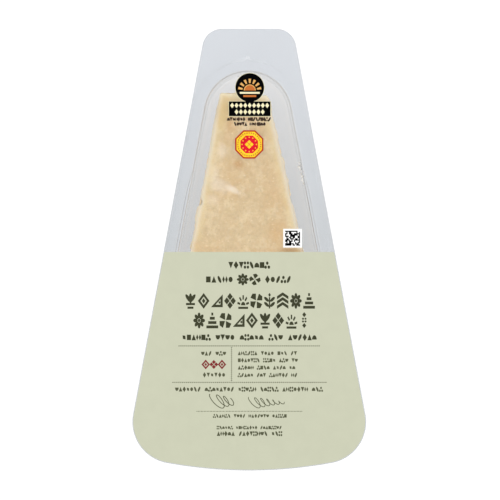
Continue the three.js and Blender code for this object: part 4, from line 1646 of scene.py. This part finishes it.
# %% Pen flourish
def rolling_loops(left, right, y, turns, tall, fade):
    """Points along loops from left to right; fade is the share of their height that they lose on the way."""
    t = np.linspace(0, 1, 260)
    size = tall * (1 - fade * t)
    a = 2 * math.pi * turns * t
    x = left + (right - left) * t - size * 0.42 * np.sin(a + 0.9)
    return np.c_[x, y + size * 0.5 * np.cos(a) + 1.6 * t * (1 - t)]


flourish = printed("pen_flourish", together([
    ribbon(rolling_loops(-16.4, -8.0, -73.0, 3, 7.2, 0.55), 0.4),
    ribbon(rolling_loops(1.6, 17.2, -73.6, 6, 5.4, 0.85), 0.36),
]), soft_olive_ink)
print("flourish:", len(flourish.data.polygons), "faces")

# %% [markdown]
# The plaque is a dark disc on a dark tablet, with one thin cream rim round both. On the disc an amber sun with gold
# beams stands over a cream bar and an amber one, and the tablet holds two rows of cream lozenges. Two rows of tiny
# marks stand below it.

# %% Plaque
DISC_CENTRE, DISC_RADIUS = (0.25, 77.8), 6.9
TABLET = (0.2, 67.6, 20.0, 7.1)  # middle x, y, width, height
RIM_WIDTH = 0.16


def plaque_outline(grow=0.0):
    """The disc and the tablet as one outline, grown by an even margin."""
    (cx, cy), radius = DISC_CENTRE, DISC_RADIUS + grow
    x, y, w, h = TABLET[0], TABLET[1], TABLET[2] / 2 + grow, TABLET[3] / 2 + grow
    meet = math.asin((y + h - cy) / radius)
    turn = np.linspace(meet, math.pi - meet, 48)
    disc = np.c_[cx + radius * np.cos(turn), cy + radius * np.sin(turn)]
    return polygon(np.concatenate([[(x - w, y - h), (x + w, y - h), (x + w, y + h)], disc, [(x - w, y + h)]]))


printed("plaque_rim", plaque_outline(RIM_WIDTH), cream_ink, FIELD_LIFT)
printed("plaque_ground", plaque_outline(), black_ink, MARK_LIFT)
print("plaque:", 2 * DISC_RADIUS, "mm across its disc")

# %% [markdown]
# The sun is drawn round its own middle, which stands a little below the middle of the disc: half a disc with seven
# beams, over two bars for the horizon.

# %% Plaque ornament
SUN_SIZE, SUN_RIM = 2.5, 0.4
SUN_DROP = 1.4
BEAM = [(3.5, -0.36), (5.6, -0.62), (5.6, 0.62), (3.5, 0.36)]
t = np.linspace(0, math.pi, 24)
half_sun = polygon(np.c_[np.cos(t), np.sin(t)])
beams = [moved(polygon(BEAM), turn=a) for a in np.linspace(12, 168, 7)]
upper_bar, lower_bar = [polygon(box_loop(width, 0.9, 0, y)) for width, y in ((9.6, -1.15), (6.2, -2.7))]
for piece, shapes, tone, lift in (
    ("plaque_beams", beams + [moved(half_sun, size=SUN_SIZE + SUN_RIM)], gold_ink, OVER_LIFT),
    ("plaque_sun", [moved(half_sun, size=SUN_SIZE), lower_bar], amber_ink, TOP_LIFT),
    ("plaque_horizon", [upper_bar], cream_ink, TOP_LIFT),
):
    printed(piece, moved(together(shapes), DISC_CENTRE[0], DISC_CENTRE[1] - SUN_DROP), tone, lift)
tablet_rows = [
    moved(lozenge(0.74), TABLET[0] + x, y, 2.6)
    for y, half, count in ((69.2, 8.4, 9), (66.1, 6.3, 7))
    for x in np.linspace(-half, half, count)
]
plaque_rows = printed("plaque_rows", together(tablet_rows), cream_ink, OVER_LIFT)
printed("tiny_rows", together([
    row_of_marks(-10.7, 10.5, 62.6, 1.9, pitch=0.66, groups=(6, 12), weight=1.12),
    row_of_marks(-7.5, 8.0, 60.3, 1.9, pitch=0.66, groups=(5, 9), weight=1.12),
]), umber_ink)
print("lozenges on the tablet:", len(tablet_rows), "with", len(plaque_rows.data.polygons), "faces")

# %% [markdown]
# The badge is an eight-sided patch in red and yellow, with small squares round a group of diamonds. It is built
# like the plaque: one flat shape over another, each a share of the whole width.

# %% Badge
BADGE_CENTRE, BADGE_RADIUS = (0.0, 50.5), 7.35
BAND_SHARE, DOTS_SHARE, MIDDLE_SHARE, INNER_SHARE = 0.9, 0.75, 0.62, 0.47  # of the badge's radius


def octagon(radius):
    return moved(polygon(round_loop(8, radius, 22.5)), *BADGE_CENTRE)


def badge_squares(count, away, size):
    return [
        moved(square(size), BADGE_CENTRE[0] + away * math.cos(a), BADGE_CENTRE[1] + away * math.sin(a),
              turn=math.degrees(a))
        for a in np.arange(count) * 2 * math.pi / count
    ]


printed("badge_edge", octagon(BADGE_RADIUS), deep_red_ink, FIELD_LIFT)
printed("badge_band", octagon(BADGE_RADIUS * BAND_SHARE), yellow_ink, MARK_LIFT)
printed("badge_dots", together(badge_squares(32, BADGE_RADIUS * DOTS_SHARE, 0.6)), amber_ink, OVER_LIFT)
printed("badge_marks", octagon(BADGE_RADIUS * MIDDLE_SHARE), red_ink, OVER_LIFT)
printed("badge_middle", together(
    [moved(stacked_diamonds(), *BADGE_CENTRE, 4.2)] + badge_squares(12, BADGE_RADIUS * INNER_SHARE, 0.5)
), yellow_ink, TOP_LIFT)
print("badge is", round(2 * BADGE_RADIUS, 1), "mm across")

# %% [markdown]
# The code patch is a white square with a chance pattern of dark cells, so that it looks machine-made but says
# nothing. Cells that touch in a row are one box, which saves faces.

# %% Code patch
PATCH_CENTRE, PATCH_SIDE = (20.8, 5.5), 9.0
CODE_CELLS, CODE_CELL = 12, 0.6
DARK_SHARE = 0.7
patch_random = np.random.default_rng(23)


def chance_cells():
    """Runs of dark cells in each row of a square grid, as flat boxes."""
    dark = patch_random.random((CODE_CELLS, CODE_CELLS)) < DARK_SHARE
    boxes = []
    for row in range(CODE_CELLS):
        column = 0
        while column < CODE_CELLS:
            run = 0
            while column + run < CODE_CELLS and dark[row, column + run]:
                run += 1
            if run:
                x = PATCH_CENTRE[0] + (column + run / 2 - CODE_CELLS / 2) * CODE_CELL
                y = PATCH_CENTRE[1] + (row + 0.5 - CODE_CELLS / 2) * CODE_CELL
                boxes.append(polygon(box_loop(run * CODE_CELL, CODE_CELL, x, y)))
            column += max(run, 1)
    return together(boxes)


printed("code_patch", polygon(box_loop(PATCH_SIDE, PATCH_SIDE, *PATCH_CENTRE)), white_ink, FIELD_LIFT)
patch_cells = printed("code_cells", chance_cells(), black_ink)
print("code patch:", len(patch_cells.data.polygons), "faces")
